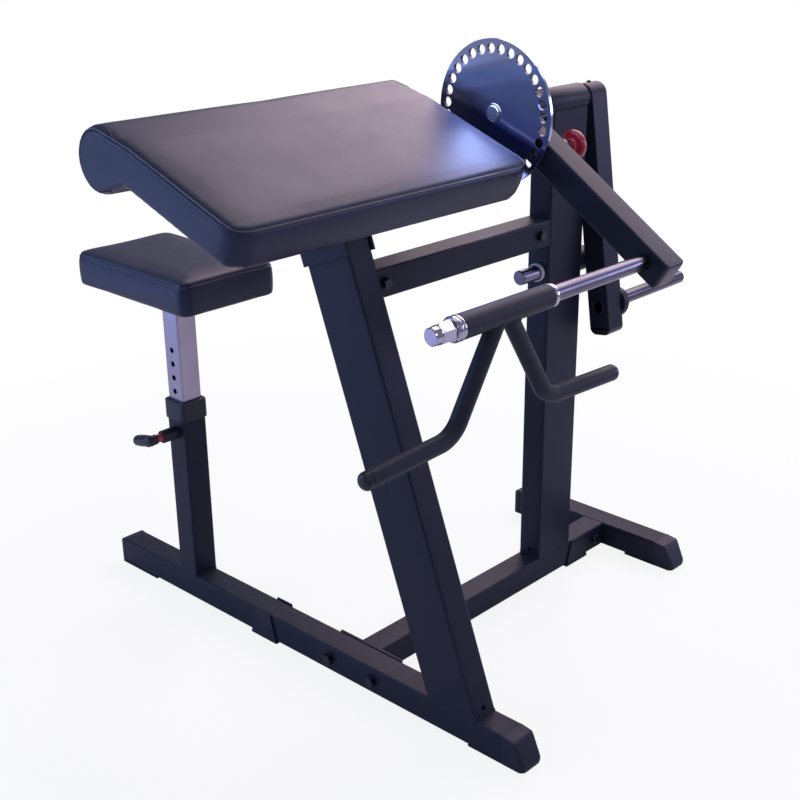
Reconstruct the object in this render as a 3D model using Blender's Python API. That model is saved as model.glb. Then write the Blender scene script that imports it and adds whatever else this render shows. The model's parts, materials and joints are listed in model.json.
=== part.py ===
"""A biceps and triceps machine: seat, sloped arm pad, indexed lever and plate-loaded weight arm.

+X is the way the user faces, +Y runs out to the weight arm and +Z is up. The main tube lies on
y = 0 before the whole machine is centred on its own footprint. Everything is in metres.
"""

import math
from dataclasses import dataclass

import bmesh
import bpy
from mathutils import Matrix, Vector

MM = 0.001

# Fits
FIT = 0.3 * MM
RUN = 0.2 * MM

# Square tube of the frame
TUBE = 50 * MM
TUBE_WALL = 3 * MM
TUBE_CORNER = 4 * MM
STUB_WALL = 3 * MM
STUB_REACH = 60 * MM
SOLE = 4 * MM

# Main tube, along X
MAIN_REAR = -474 * MM
MAIN_FRONT = 522 * MM
REAR_CAP_REACH = 12 * MM
REAR_SOLE = 100 * MM
NOSE_REACH = 55 * MM
NOSE_TOP = 26 * MM
NOSE_SOLE = 71 * MM
PLUG_DEPTH = 34 * MM
MID_FOOT_X = -47 * MM
FOOT_BOTTOM = 70 * MM
FOOT_TOP = 40 * MM
FOOT_HEIGHT = 56 * MM
FOOT_WALL = 3 * MM

# Frame members that share one plane across the machine
FRAME_X = 179 * MM
CROSS_OVERRUN = 165.6 * MM
CROSS_FOOT_OUTSET = 75.6 * MM
FLANGE_LENGTH = 150 * MM
FLANGE_THICKNESS = 5 * MM
FLANGE_BOLT_SPACING = 105 * MM
STABILISER_REAR = -21 * MM
STABILISER_FRONT = 333 * MM
STABILISER_BOLT_BACK = 30 * MM
UPPER_CROSS_Z = 716.8 * MM
UPPER_BOLT_BACK = 27 * MM

# Posts
POST_WIDE = 100 * MM
POST_NARROW = 50 * MM
POST_WALL = 3 * MM
LEAN_ANGLE = math.radians(20.2)
LEAN_FOOT_X = 415.3 * MM
UPRIGHT_OUTSET = 214.4 * MM
WEEP_RADIUS = 4 * MM
WEEP_RISE = 14 * MM

# Arm pad
PAD_ANGLE = math.radians(20)
PAD_X = 150 * MM
PAD_Z = 931.7 * MM
PAD_HALF_WIDTH = 310 * MM
PAD_THICKNESS = 66 * MM
PAD_FRONT = 154 * MM
PAD_ROLL_RADIUS = 50 * MM
PAD_ROLL_BACK = 151.6 * MM
PAD_ROLL_DROP = 57 * MM
PAD_ROUND = 8 * MM
PAD_CROWN = 3 * MM
PAD_BOARD_LENGTH = 215 * MM
PAD_BOARD_MARGIN = 25 * MM
BOARD_THICKNESS = 15 * MM
BRACKET_PLATE = 5 * MM
BRACKET_LENGTH = 144 * MM
BRACKET_WIDTH = 120 * MM
BRACKET_LIP = 3 * MM
CHEEK_DROP = 117 * MM

# Seat
SEAT_X = -267.4 * MM
SEAT_POST_TOP = 409 * MM
SEAT_POST_WALL = 2 * MM
BUSHING_WALL = 3 * MM
BUSHING_DROP = 33 * MM
BUSHING_RISE = 4 * MM
BUSHING_LINER = 28 * MM
SEAT_TUBE = 43 * MM
SEAT_TUBE_WALL = 3 * MM
SEAT_TUBE_BOTTOM = 225 * MM
SEAT_PIN_Z = 351.4 * MM
SEAT_PITCH = 26.5 * MM
SEAT_HOLES_ABOVE = 6
SEAT_HOLES_BELOW = 2
CUSHION_BOTTOM = 621 * MM
CUSHION_HEIGHT = 62 * MM
CUSHION_LENGTH = 302 * MM
CUSHION_WIDTH = 197 * MM
CUSHION_CORNER = 32 * MM
CUSHION_DRAW_IN = 3 * MM
SEAT_BOARD_THICKNESS = 12 * MM
SEAT_BOARD_MARGIN = 15 * MM
SEAT_PLATE = 4 * MM
SEAT_PLATE_LENGTH = 160 * MM
SEAT_PLATE_WIDTH = 120 * MM

# Spring plungers of the seat and of the lever
PIN_TRAVEL = 12 * MM
SEAT_PIN_RADIUS = 5 * MM
SEAT_BARREL_RADIUS = 12 * MM
SEAT_NOSE_RADIUS = 8 * MM
SEAT_BARREL_LENGTH = 35 * MM
SEAT_SLEEVE_RADIUS = 7.7 * MM
SEAT_KNOB_RADIUS = 9.6 * MM
SEAT_KNOB_DEPTH = 20 * MM
SEAT_KNOB_ARM = 58 * MM
LEVER_PIN_RADIUS = 7 * MM
LEVER_BARREL_RADIUS = 15 * MM
LEVER_NOSE_RADIUS = 12.5 * MM
LEVER_NOSE_DEPTH = 16 * MM
LEVER_BARREL_LENGTH = 24 * MM
LEVER_NECK_RADIUS = 8 * MM
LEVER_KNOB_RADIUS = 26 * MM
LEVER_KNOB_DEPTH = 22 * MM
BARREL_CAP = 3 * MM
PIN_COLLAR = 2 * MM
SPRING_WIRE = 1.4 * MM
SPRING_TURNS = 4

# Pivot
PIVOT_Z = 942.9 * MM
SHAFT_RADIUS = 12.5 * MM
HOUSING_RADIUS = 25 * MM
HOUSING_WALL = 6 * MM
HOUSING_OVERHANG = 4 * MM
BUSH_FLANGE = 1.8 * MM
BUSH_FLANGE_RADIUS = 23 * MM
BUSH_LENGTH = 25 * MM
UPRIGHT_TOP_DROP = 12.9 * MM

# Selector disc
DISC_RADIUS = 120 * MM
DISC_THICKNESS = 6 * MM
DISC_HOLES = 31
DISC_HOLE_CIRCLE = 104.3 * MM
DISC_HOLE_RADIUS = 8.25 * MM
DISC_BOSS_RADIUS = 17 * MM
DISC_BOSS = 10 * MM
DISC_RING_RADIUS = 21 * MM
DISC_RING = 3.8 * MM

# Lever and its handles
LEVER_ANGLE = math.radians(32.84)
LEVER_OUTSET = 65 * MM
LEVER_LENGTH = 402.5 * MM
LEVER_TAIL = 30 * MM
LEVER_CAP = 5 * MM
HUB_RADIUS = 20 * MM
HUB_STANDOFF = 2.4 * MM
BAR_SETBACK = 35.5 * MM
BAR_RADIUS = 12.5 * MM
BAR_END = -138 * MM
BAR_THREAD_RADIUS = 10 * MM
SLEEVE_RADIUS = 18.5 * MM
SLEEVE_LEFT = 101 * MM
SLEEVE_RIGHT = -97 * MM
COLLAR_RADIUS = 18 * MM
COLLAR_LENGTH = 8 * MM
WASHER_RADIUS = 19 * MM
WASHER_LENGTH = 15 * MM
NUT_ACROSS = 28 * MM
NUT_LENGTH = 39 * MM
HANDLE_RADIUS = 13.5 * MM
HANDLE_DROP = 160 * MM
HANDLE_SPREAD = math.radians(32)
HANDLE_DROOP = math.radians(2.5)
HANDLE_BEND = 50 * MM
HANDLE_ROOT = 6.8 * MM
HANDLE_SPAN = 570 * MM
GRIP_CAP = 13 * MM
GRIP_SPIGOT = 8 * MM

# Weight arm and its stop
ARM_SIZE = 45 * MM
ARM_WALL = 3 * MM
ARM_LENGTH = 443 * MM
ARM_CLEARANCE = 13.9 * MM
ARM_HUB_RADIUS = 20 * MM
PLATE_POST_SETBACK = 54 * MM
PLATE_POST_RADIUS = 12.5 * MM
PLATE_POST_WALL = 2 * MM
PLATE_POST_LENGTH = 236.7 * MM
PLATE_STOP_RADIUS = 30 * MM
PLATE_STOP_LENGTH = 24 * MM
SET_SCREW_RADIUS = 4 * MM
SET_SCREW_RISE = 3 * MM
PEG_DROP = 303 * MM
PEG_RADIUS = 13.5 * MM
PEG_REACH = 55.4 * MM
PEG_COLLAR_RADIUS = 17 * MM
PEG_COLLAR_LENGTH = 8 * MM
BUMPER_RADIUS = 22 * MM
BUMPER_LENGTH = 59 * MM
BUMPER_END_WALL = 5 * MM

# Hexagon bolts
FLANGE_BOLT_RADIUS = 6 * MM
FLANGE_BOLT_ACROSS = 19 * MM
FLANGE_NUT_LENGTH = 10.5 * MM
FLANGE_BOLT_SPARE = 4 * MM
FRAME_BOLT_RADIUS = 5 * MM
FRAME_BOLT_ACROSS = 17 * MM
FRAME_BOLT_LENGTH = 14 * MM
BOLT_WASHER = 2 * MM
HEAD_SHARE = 0.4

# Facets
CORNER_STEPS = 2
ROUND_SIDES = 20
SMALL_SIDES = 12
HOLE_SIDES = 10
COIL_SIDES = 5
COIL_POINTS = 8
DISC_SIDES = 2 * DISC_HOLES

# What follows from the sizes above
TUBE_TOP = SOLE + TUBE
TUBE_Z = SOLE + TUBE / 2
SIDE = TUBE / 2 + FIT
CROSS_START = SIDE + FLANGE_THICKNESS
UPRIGHT_Y = PAD_HALF_WIDTH + UPRIGHT_OUTSET
CROSS_END = UPRIGHT_Y + CROSS_OVERRUN
CROSS_FOOT_Y = UPRIGHT_Y + CROSS_FOOT_OUTSET
STABILISER_Y = CROSS_END + FIT + TUBE / 2
UPRIGHT_NEAR = UPRIGHT_Y - POST_WIDE / 2
UPRIGHT_FAR = UPRIGHT_Y + POST_WIDE / 2
HOUSING_NEAR = UPRIGHT_NEAR - HOUSING_OVERHANG
HOUSING_FAR = UPRIGHT_FAR + HOUSING_OVERHANG / 2
BUSH_NEAR = HOUSING_NEAR - FIT - BUSH_FLANGE
BUSH_FAR = HOUSING_FAR + FIT + BUSH_FLANGE
PEG_START = UPRIGHT_NEAR - PEG_REACH
LEVER_Y = PAD_HALF_WIDTH + LEVER_OUTSET
BAR_REACH = LEVER_LENGTH - BAR_SETBACK
LEVER_NEAR = LEVER_Y - TUBE / 2
LEVER_FAR = LEVER_Y + TUBE / 2
DISC_BACK = LEVER_NEAR - HUB_STANDOFF - FIT
DISC_FRONT = DISC_BACK - DISC_THICKNESS
DISC_PITCH = math.tau / DISC_HOLES
ARM_Y = UPRIGHT_FAR + ARM_CLEARANCE
ARM_FAR = ARM_Y + ARM_SIZE
PLATE_POST_DROP = ARM_LENGTH - PLATE_POST_SETBACK
PLATE_POST_END = ARM_FAR + PLATE_POST_LENGTH
ARM_TILT = math.asin((ARM_SIZE / 2 + BUMPER_RADIUS + FIT) / PEG_DROP)
PEG_Z = PIVOT_Z - PEG_DROP
SEAT_HALF = SEAT_TUBE / 2
STUB_HALF = TUBE / 2 - TUBE_WALL - FIT
REAR_END = MAIN_REAR - REAR_CAP_REACH
FRONT_END = MAIN_FRONT + NOSE_REACH

ALONG_X = Matrix.Rotation(math.radians(90), 4, "Y")
ALONG_Y = Matrix.Rotation(math.radians(-90), 4, "X")
AGAINST_Y = Matrix.Rotation(math.radians(90), 4, "X")
PROFILE_FORWARD = Matrix.Rotation(math.radians(90), 4, "X")
PROFILE_REARWARD = Matrix.Rotation(math.pi, 4, "Z") @ PROFILE_FORWARD
PROFILE_OUTWARD = Matrix.Rotation(math.radians(90), 4, "Z") @ PROFILE_FORWARD


def at(x, y, z):
    """The matrix that moves a piece to a place."""
    return Matrix.Translation((x, y, z))


def make_finish(name, colour, roughness, metallic):
    """A Principled material with the part's own colour, roughness and metallic value."""
    material = bpy.data.materials.new(name)
    material.use_nodes = True
    shader = material.node_tree.nodes["Principled BSDF"]
    shader.inputs["Base Color"].default_value = (*colour, 1.0)
    shader.inputs["Roughness"].default_value = roughness
    shader.inputs["Metallic"].default_value = metallic
    material.diffuse_color = (*colour, 1.0)
    return material


def clear_scene():
    """Removes whatever the file opened with."""
    for thing in list(bpy.data.objects):
        bpy.data.objects.remove(thing, do_unlink=True)


def add_frame(name, parent, matrix):
    """An empty that carries the pieces of one body."""
    frame = bpy.data.objects.new(name, None)
    bpy.context.collection.objects.link(frame)
    frame.parent = parent
    frame.matrix_local = matrix
    return frame


def add_piece(name, rings, parent, matrix, material, loop=False):
    """A closed skin over rings of equal count, capped at its ends or bent round on itself."""
    shape = bmesh.new()
    rows = [[shape.verts.new(point) for point in ring] for ring in rings]
    count = len(rows[0])
    pairs = list(zip(rows, rows[1:]))
    if loop:
        pairs.append((rows[-1], rows[0]))
    else:
        shape.faces.new(rows[0])
        shape.faces.new(rows[-1])
    for low, high in pairs:
        for i in range(count):
            j = (i + 1) % count
            shape.faces.new((low[i], low[j], high[j], high[i]))
    bmesh.ops.recalc_face_normals(shape, faces=shape.faces)
    mesh = bpy.data.meshes.new(name)
    shape.to_mesh(mesh)
    shape.free()
    mesh.shade_smooth()
    mesh.set_sharp_from_angle(angle=math.radians(35))
    piece = bpy.data.objects.new(name, mesh)
    bpy.context.collection.objects.link(piece)
    piece.parent = parent
    piece.matrix_local = matrix
    if material is None:
        piece.hide_render = True
        piece.display_type = "WIRE"
    else:
        mesh.materials.append(material)
    return piece


def combine(piece, tool, operation):
    """A Boolean of the piece with a helper."""
    modifier = piece.modifiers.new(tool.name, "BOOLEAN")
    modifier.operation = operation
    modifier.solver = "EXACT"
    modifier.object = tool


def cut(piece, tool):
    """Takes the helper's space out of the piece."""
    combine(piece, tool, "DIFFERENCE")


def weld(piece, tool):
    """Makes the helper part of the piece."""
    combine(piece, tool, "UNION")


def arc(cx, cy, radius, start, end, steps):
    """Points on a circle, from one angle in degrees to another."""
    turns = [math.radians(start + (end - start) * i / steps) for i in range(steps + 1)]
    return [(cx + radius * math.cos(t), cy + radius * math.sin(t)) for t in turns]


def rectangle(half_x, half_y, corner, steps=CORNER_STEPS):
    """A rounded rectangle's outline, anticlockwise."""
    x = half_x - corner
    y = half_y - corner
    points = arc(x, y, corner, 0, 90, steps)
    points += arc(-x, y, corner, 90, 180, steps)
    points += arc(-x, -y, corner, 180, 270, steps)
    points += arc(x, -y, corner, 270, 360, steps)
    return points


def rectangle_ring(half_x, half_y, corner, inset, z, slope=0.0):
    """A rounded rectangle at one height, drawn in by the inset; slope cuts it at a slant."""
    outline = rectangle(half_x - inset, half_y - inset, max(corner - inset, 0.5 * MM))
    return [(x, y, z + slope * x) for x, y in outline]


def round_ring(radius, z, sides):
    """A circle at one height."""
    turns = [math.tau * i / sides for i in range(sides)]
    return [(radius * math.cos(t), radius * math.sin(t), z) for t in turns]


def hexagon_ring(across, z):
    """A hexagon at one height, with a point at each corner and at the middle of each side."""
    points = []
    for i in range(SMALL_SIDES):
        radius = across / 2 if i % 2 else across / math.sqrt(3)
        turn = math.tau * i / SMALL_SIDES
        points.append((radius * math.cos(turn), radius * math.sin(turn), z))
    return points


def bore_radius(radius, sides):
    """The corner radius of a faceted bore whose flats still clear a shaft of the radius."""
    return radius / math.cos(math.pi / sides)


def box_tube(name, half_x, half_y, wall, start, end, parent, matrix, material, slopes=(0, 0)):
    """A rectangular tube along its own Z, with each end cut square or at a slant."""
    loop = [(0, start, slopes[0]), (0, end, slopes[1])]
    loop += [(wall, end, slopes[1]), (wall, start, slopes[0])]
    rings = [rectangle_ring(half_x, half_y, TUBE_CORNER, i, z, s) for i, z, s in loop]
    return add_piece(name, rings, parent, matrix, material, loop=True)


def block(name, half_x, half_y, corner, steps, parent, matrix, material):
    """A solid with a rounded rectangle for its outline and a list of (inset, z) up its side."""
    rings = [rectangle_ring(half_x, half_y, corner, inset, z) for inset, z in steps]
    return add_piece(name, rings, parent, matrix, material)


def turned(name, steps, parent, matrix, material, sides=ROUND_SIDES, loop=False):
    """A solid turned about its own Z from (radius, z) steps; a loop of steps leaves a bore."""
    rings = [round_ring(radius, z, sides) for radius, z in steps]
    return add_piece(name, rings, parent, matrix, material, loop=loop)


def ring_steps(radius, bore, start, end, edge=0.0, sides=ROUND_SIDES):
    """The steps of a turned ring, with its outer edges broken."""
    hole = bore_radius(bore, sides)
    return [
        (hole, start),
        (radius - edge, start),
        (radius, start + edge),
        (radius, end - edge),
        (radius - edge, end),
        (hole, end),
    ]


def plain_ring(name, radius, bore, start, end, parent, matrix, material, edge=1 * MM):
    """A turned ring."""
    steps = ring_steps(radius, bore, start, end, edge)
    return turned(name, steps, parent, matrix, material, loop=True)


def drill(name, radius, start, end, parent, matrix, sides=ROUND_SIDES):
    """A round cutter along its own Z."""
    corner = bore_radius(radius, sides)
    return turned(name, [(corner, start), (corner, end)], parent, matrix, None, sides)


def slab(name, outline, low, high, parent, matrix, material):
    """An outline extruded along its own Z."""
    rings = [[(x, y, z) for x, y in outline] for z in (low, high)]
    return add_piece(name, rings, parent, matrix, material)


def box_cutter(name, low, high, parent, matrix):
    """A plain box that cuts or is welded on."""
    outline = [(low[0], low[1]), (high[0], low[1]), (high[0], high[1]), (low[0], high[1])]
    return slab(name, outline, low[2], high[2], parent, matrix, None)


def end_cap(name, nose, sole, parent, matrix, material):
    """A tube's end cap: its nose outline, the sole that runs back under the tube, and its plug."""
    outline = [(-sole, 0), *nose, (FIT, TUBE_TOP), (FIT, SOLE - FIT), (-sole, SOLE - FIT)]
    cap = slab(name, outline, -TUBE / 2, TUBE / 2, parent, matrix, material)
    half = TUBE / 2 - TUBE_WALL - FIT
    plug = box_cutter(
        name + ".plug",
        (-PLUG_DEPTH, TUBE_Z - half, -half),
        (2 * FIT, TUBE_Z + half, half),
        parent,
        matrix,
    )
    weld(cap, plug)
    return cap


def nose_outline():
    """The long rounded nose, from the floor up to the tube's top."""
    low = SOLE + 4 * MM
    points = arc(NOSE_TOP, low, 1, 0, 80, 6)
    width = NOSE_REACH - NOSE_TOP
    height = TUBE_TOP - low
    curve = [(NOSE_TOP + width * (x - NOSE_TOP), low + height * (y - low)) for x, y in points]
    return [(NOSE_REACH, 0), *curve, (NOSE_TOP, TUBE_TOP)]


def rear_outline():
    """The short rear cap, with its top edge broken."""
    edge = 3 * MM
    return [(REAR_CAP_REACH, 0), (REAR_CAP_REACH, TUBE_TOP - edge), (REAR_CAP_REACH - edge, TUBE_TOP)]


def foot_pad(name, parent, matrix, material):
    """A rubber saddle under a tube, narrower at its top."""
    bottom = FOOT_BOTTOM / 2
    top = FOOT_TOP / 2
    outline = [(-bottom, 0), (bottom, 0), (top, FOOT_HEIGHT), (-top, FOOT_HEIGHT)]
    half = SIDE + FOOT_WALL
    pad = slab(name, outline, -half, half, parent, matrix, material)
    channel = box_cutter(
        name + ".channel",
        (-FOOT_BOTTOM, SOLE - FIT, -SIDE),
        (FOOT_BOTTOM, 2 * FOOT_HEIGHT, SIDE),
        parent,
        matrix,
    )
    cut(pad, channel)


def hex_bolt(name, across, radius, shank, parent, matrix, material):
    """A bolt whose shank runs along +Z from z = 0, with a washer and a hexagon head behind it."""
    head = HEAD_SHARE * across
    washer = 0.62 * across
    chamfer = 0.94 * across
    rings = [
        hexagon_ring(chamfer, -BOLT_WASHER - head),
        hexagon_ring(across, -BOLT_WASHER - 0.8 * head),
        hexagon_ring(across, -BOLT_WASHER),
        round_ring(washer, -BOLT_WASHER, SMALL_SIDES),
        round_ring(washer, 0, SMALL_SIDES),
        round_ring(radius, 0, SMALL_SIDES),
        round_ring(radius, shank, SMALL_SIDES),
    ]
    return add_piece(name, rings, parent, matrix, material)


def hex_nut(name, across, bore, length, parent, matrix, material):
    """A plain hexagon nut along +Z from z = 0."""
    hole = bore_radius(bore, SMALL_SIDES)
    rings = [
        round_ring(hole, 0, SMALL_SIDES),
        hexagon_ring(across, 0),
        hexagon_ring(across, 0.9 * length),
        hexagon_ring(0.94 * across, length),
        round_ring(hole, length, SMALL_SIDES),
    ]
    return add_piece(name, rings, parent, matrix, material, loop=True)


def stub(name, parent, matrix, start, end):
    """A short inner tube, to be welded to a face; it reaches a wall's depth into that face."""
    return box_tube(name, STUB_HALF, STUB_HALF, STUB_WALL, start, end, parent, matrix, None)


def rounded_steps(radius, start, end, dome, steps=4):
    """A round bar's steps with a domed far end."""
    sign = 1 if end > start else -1
    profile = [(radius, start)]
    for i in range(steps + 1):
        turn = math.radians(78) * i / steps
        rise = dome * math.sin(turn) / math.sin(math.radians(78))
        profile.append((radius * math.cos(turn), end - sign * (dome - rise)))
    return profile


def swept(name, path, radius, parent, matrix, material, sides=SMALL_SIDES):
    """A round bar along a flat path in its own YZ plane."""
    rings = []
    for i, (y, z) in enumerate(path):
        before = Vector(path[max(i - 1, 0)])
        after = Vector(path[min(i + 1, len(path) - 1)])
        along = (after - before).normalized()
        across = Vector((-along.y, along.x))
        ring = []
        for k in range(sides):
            turn = math.tau * (k + 0.5) / sides
            out = across * radius * math.sin(turn)
            ring.append((radius * math.cos(turn), y + out.x, z + out.y))
        rings.append(ring)
    return add_piece(name, rings, parent, matrix, material)


def coil(name, mean, start, end, parent, matrix, material):
    """A compression spring about its own Z; the least gap between its turns is printed."""
    count = COIL_POINTS * SPRING_TURNS
    radius = bore_radius(mean, COIL_POINTS)
    low = start + SPRING_WIRE / 2
    rise = end - start - SPRING_WIRE
    centres = []
    for i in range(count + 1):
        turn = math.tau * i / COIL_POINTS
        height = low + rise * i / count
        centres.append(Vector((radius * math.cos(turn), radius * math.sin(turn), height)))
    rings = []
    for i, centre in enumerate(centres):
        along = (centres[min(i + 1, count)] - centres[max(i - 1, 0)]).normalized()
        out = Vector((centre.x, centre.y, 0)).normalized()
        side = along.cross(out)
        ring = []
        for k in range(COIL_SIDES):
            turn = math.tau * k / COIL_SIDES
            ring.append(centre + (out * math.cos(turn) + side * math.sin(turn)) * SPRING_WIRE / 2)
        rings.append(ring)
    gaps = []
    for i, centre in enumerate(centres):
        for other in centres[i + COIL_POINTS // 2 :]:
            gaps.append((other - centre).length - SPRING_WIRE)
    print(f"{name}: least gap between turns {min(gaps) / MM:.2f} mm")
    return add_piece(name, rings, parent, matrix, material)


def build_base(body, paint, rubber, zinc):
    """The main tube, its end caps and foot, and what bolts the cross tube to it."""
    along = at(0, 0, TUBE_Z) @ ALONG_X
    main = box_tube(
        "main_base_tube", TUBE / 2, TUBE / 2, TUBE_WALL, MAIN_REAR, MAIN_FRONT, body, along, paint
    )
    rear = at(MAIN_REAR, 0, 0) @ PROFILE_REARWARD
    end_cap("rear_foot_cap", rear_outline(), REAR_SOLE, body, rear, rubber)
    front = at(MAIN_FRONT, 0, 0) @ PROFILE_FORWARD
    end_cap("front_foot_cap", nose_outline(), NOSE_SOLE, body, front, rubber)
    foot_pad("mid_foot_pad", body, at(MID_FOOT_X, 0, 0) @ PROFILE_FORWARD, rubber)

    cross = box_tube(
        "lower_cross_tube",
        TUBE / 2,
        TUBE / 2,
        TUBE_WALL,
        CROSS_START - FLANGE_THICKNESS / 2,
        CROSS_END,
        body,
        at(FRAME_X, 0, TUBE_Z) @ ALONG_Y,
        paint,
    )
    half = FLANGE_LENGTH / 2
    flange = box_cutter(
        "lower_cross_tube.flange",
        (-half, -TUBE / 2, SIDE),
        (half, TUBE / 2, CROSS_START),
        body,
        at(FRAME_X, 0, TUBE_Z) @ ALONG_Y,
    )
    weld(cross, flange)
    for side, label in ((-1, "rear"), (1, "front")):
        place = at(FRAME_X + side * FLANGE_BOLT_SPACING / 2, 0, TUBE_Z) @ ALONG_Y
        hole = drill(
            f"flange_hole_{label}", FLANGE_BOLT_RADIUS + FIT, -TUBE, TUBE, body, place, SMALL_SIDES
        )
        cut(main, hole)
        cut(cross, hole)
        nut_start = CROSS_START + FIT
        shank = nut_start + FLANGE_NUT_LENGTH + FLANGE_BOLT_SPARE + SIDE
        hex_bolt(
            f"flange_bolt_{label}",
            FLANGE_BOLT_ACROSS,
            FLANGE_BOLT_RADIUS,
            shank,
            body,
            place @ at(0, 0, -SIDE),
            zinc,
        )
        hex_nut(
            f"flange_nut_{label}",
            FLANGE_BOLT_ACROSS,
            FLANGE_BOLT_RADIUS + FIT,
            FLANGE_NUT_LENGTH,
            body,
            place @ at(0, 0, nut_start),
            zinc,
        )
    foot_pad("cross_foot_pad", body, at(FRAME_X, CROSS_FOOT_Y, 0) @ PROFILE_OUTWARD, rubber)
    return cross


def frame_bolt(name, y, z, body, zinc, *pieces):
    """A bolt screwed through a tube's +X wall into the stub inside, and the hole it needs."""
    place = at(FRAME_X + SIDE, y, z) @ Matrix.Rotation(math.radians(-90), 4, "Y")
    hole = drill(
        name + ".hole",
        FRAME_BOLT_RADIUS + FIT,
        -FRAME_BOLT_LENGTH,
        FRAME_BOLT_LENGTH,
        body,
        place,
        SMALL_SIDES,
    )
    for piece in pieces:
        cut(piece, hole)
    hex_bolt(name, FRAME_BOLT_ACROSS, FRAME_BOLT_RADIUS, FRAME_BOLT_LENGTH, body, place, zinc)


def build_stabiliser(body, cross, paint, rubber, zinc):
    """The outer foot tube, with its stub in the cross tube's end."""
    tube = box_tube(
        "stabiliser",
        TUBE / 2,
        TUBE / 2,
        TUBE_WALL,
        STABILISER_REAR,
        STABILISER_FRONT,
        body,
        at(0, STABILISER_Y, TUBE_Z) @ ALONG_X,
        paint,
    )
    near = STABILISER_Y - TUBE / 2
    inner = stub(
        "stabiliser.stub",
        body,
        at(FRAME_X, 0, TUBE_Z) @ ALONG_Y,
        near - STUB_REACH,
        near + TUBE_WALL / 2,
    )
    weld(tube, inner)
    bolt_y = CROSS_END - STABILISER_BOLT_BACK
    frame_bolt("stabiliser_bolt", bolt_y, TUBE_Z, body, zinc, cross, tube)
    front = at(STABILISER_FRONT, STABILISER_Y, 0) @ PROFILE_FORWARD
    end_cap("stabiliser_front_cap", nose_outline(), NOSE_SOLE, body, front, rubber)
    rear = at(STABILISER_REAR, STABILISER_Y, 0) @ PROFILE_REARWARD
    end_cap("stabiliser_rear_cap", rear_outline(), REAR_SOLE, body, rear, rubber)


def on_pad(x, z):
    """A point of the machine's XZ plane in the pad's own frame: down its slope, and off its top."""
    cos = math.cos(PAD_ANGLE)
    sin = math.sin(PAD_ANGLE)
    return (x - PAD_X) * cos - (z - PAD_Z) * sin, (x - PAD_X) * sin + (z - PAD_Z) * cos


def build_lean_post(body, paint):
    """The sloped post from the main tube up to the arm pad. Returns it with its top's reach."""
    foot_z = TUBE_TOP + FIT
    depth = -(PAD_THICKNESS + FIT + BRACKET_PLATE + FIT)
    both = LEAN_ANGLE + PAD_ANGLE
    reach = (depth - on_pad(LEAN_FOOT_X, foot_z)[1]) / math.cos(both)
    place = at(LEAN_FOOT_X, 0, foot_z) @ Matrix.Rotation(-LEAN_ANGLE, 4, "Y")
    slopes = (-math.tan(LEAN_ANGLE), -math.tan(both))
    post = box_tube(
        "lean_post", POST_WIDE / 2, POST_NARROW / 2, POST_WALL, 0, reach, body, place, paint, slopes
    )
    inner = stub(
        "lean_post.stub",
        body,
        at(FRAME_X, 0, UPPER_CROSS_Z) @ ALONG_Y,
        POST_NARROW / 2 - POST_WALL / 2,
        POST_NARROW / 2 + STUB_REACH,
    )
    weld(post, inner)
    weep = drill(
        "lean_post.weep",
        WEEP_RADIUS,
        POST_WIDE / 4,
        POST_WIDE,
        body,
        place @ at(0, 0, WEEP_RISE - POST_WIDE / 2 * math.tan(LEAN_ANGLE)) @ ALONG_X,
        SMALL_SIDES,
    )
    cut(post, weep)
    return post, place, reach


def build_pad(body, post_place, reach, paint, vinyl, wood):
    """The arm pad on its board, and the bracket that holds both on the sloped post."""
    pad = add_frame("pad_frame", body, at(PAD_X, 0, PAD_Z) @ Matrix.Rotation(PAD_ANGLE, 4, "Y"))
    half = POST_WIDE / 2 + BRACKET_LIP
    slope = -math.tan(LEAN_ANGLE + PAD_ANGLE)
    low = reach - CHEEK_DROP
    rise = BRACKET_PLATE / 2 + FIT
    outline = [(-half, low), (half, low), (half, reach + slope * half + rise)]
    outline.append((-half, reach - slope * half + rise))
    top = post_place @ Vector((0, 0, reach))
    centre = on_pad(top.x, top.z)[0]
    plate_top = -PAD_THICKNESS - FIT
    bracket = block(
        "pad_bracket",
        BRACKET_LENGTH / 2,
        BRACKET_WIDTH / 2,
        TUBE_CORNER,
        [(0, plate_top - BRACKET_PLATE), (0, plate_top)],
        pad,
        at(centre, 0, 0),
        paint,
    )
    near = POST_NARROW / 2 + FIT
    for side, label in ((-1, "right"), (1, "left")):
        faces = sorted((side * near, side * (near + BRACKET_PLATE)))
        cheek = slab(
            f"pad_bracket.{label}", outline, *faces, body, post_place @ PROFILE_FORWARD, None
        )
        weld(bracket, cheek)

    board_front = PAD_FRONT - PAD_BOARD_MARGIN / 2
    board_half = PAD_HALF_WIDTH - PAD_BOARD_MARGIN
    board_top = -PAD_THICKNESS + BOARD_THICKNESS
    board_middle = board_front - PAD_BOARD_LENGTH / 2
    block(
        "arm_pad_board",
        PAD_BOARD_LENGTH / 2,
        board_half,
        TUBE_CORNER,
        [(0, -PAD_THICKNESS), (0, board_top)],
        pad,
        at(board_middle, 0, 0),
        wood,
    )
    recess = block(
        "arm_pad.recess",
        PAD_BOARD_LENGTH / 2 + FIT,
        board_half + FIT,
        TUBE_CORNER,
        [(0, -2 * PAD_THICKNESS), (0, board_top + FIT)],
        pad,
        at(board_middle, 0, 0),
        None,
    )
    cushion = add_piece("arm_pad", pad_rings(), pad, Matrix(), vinyl)
    cut(cushion, recess)


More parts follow.
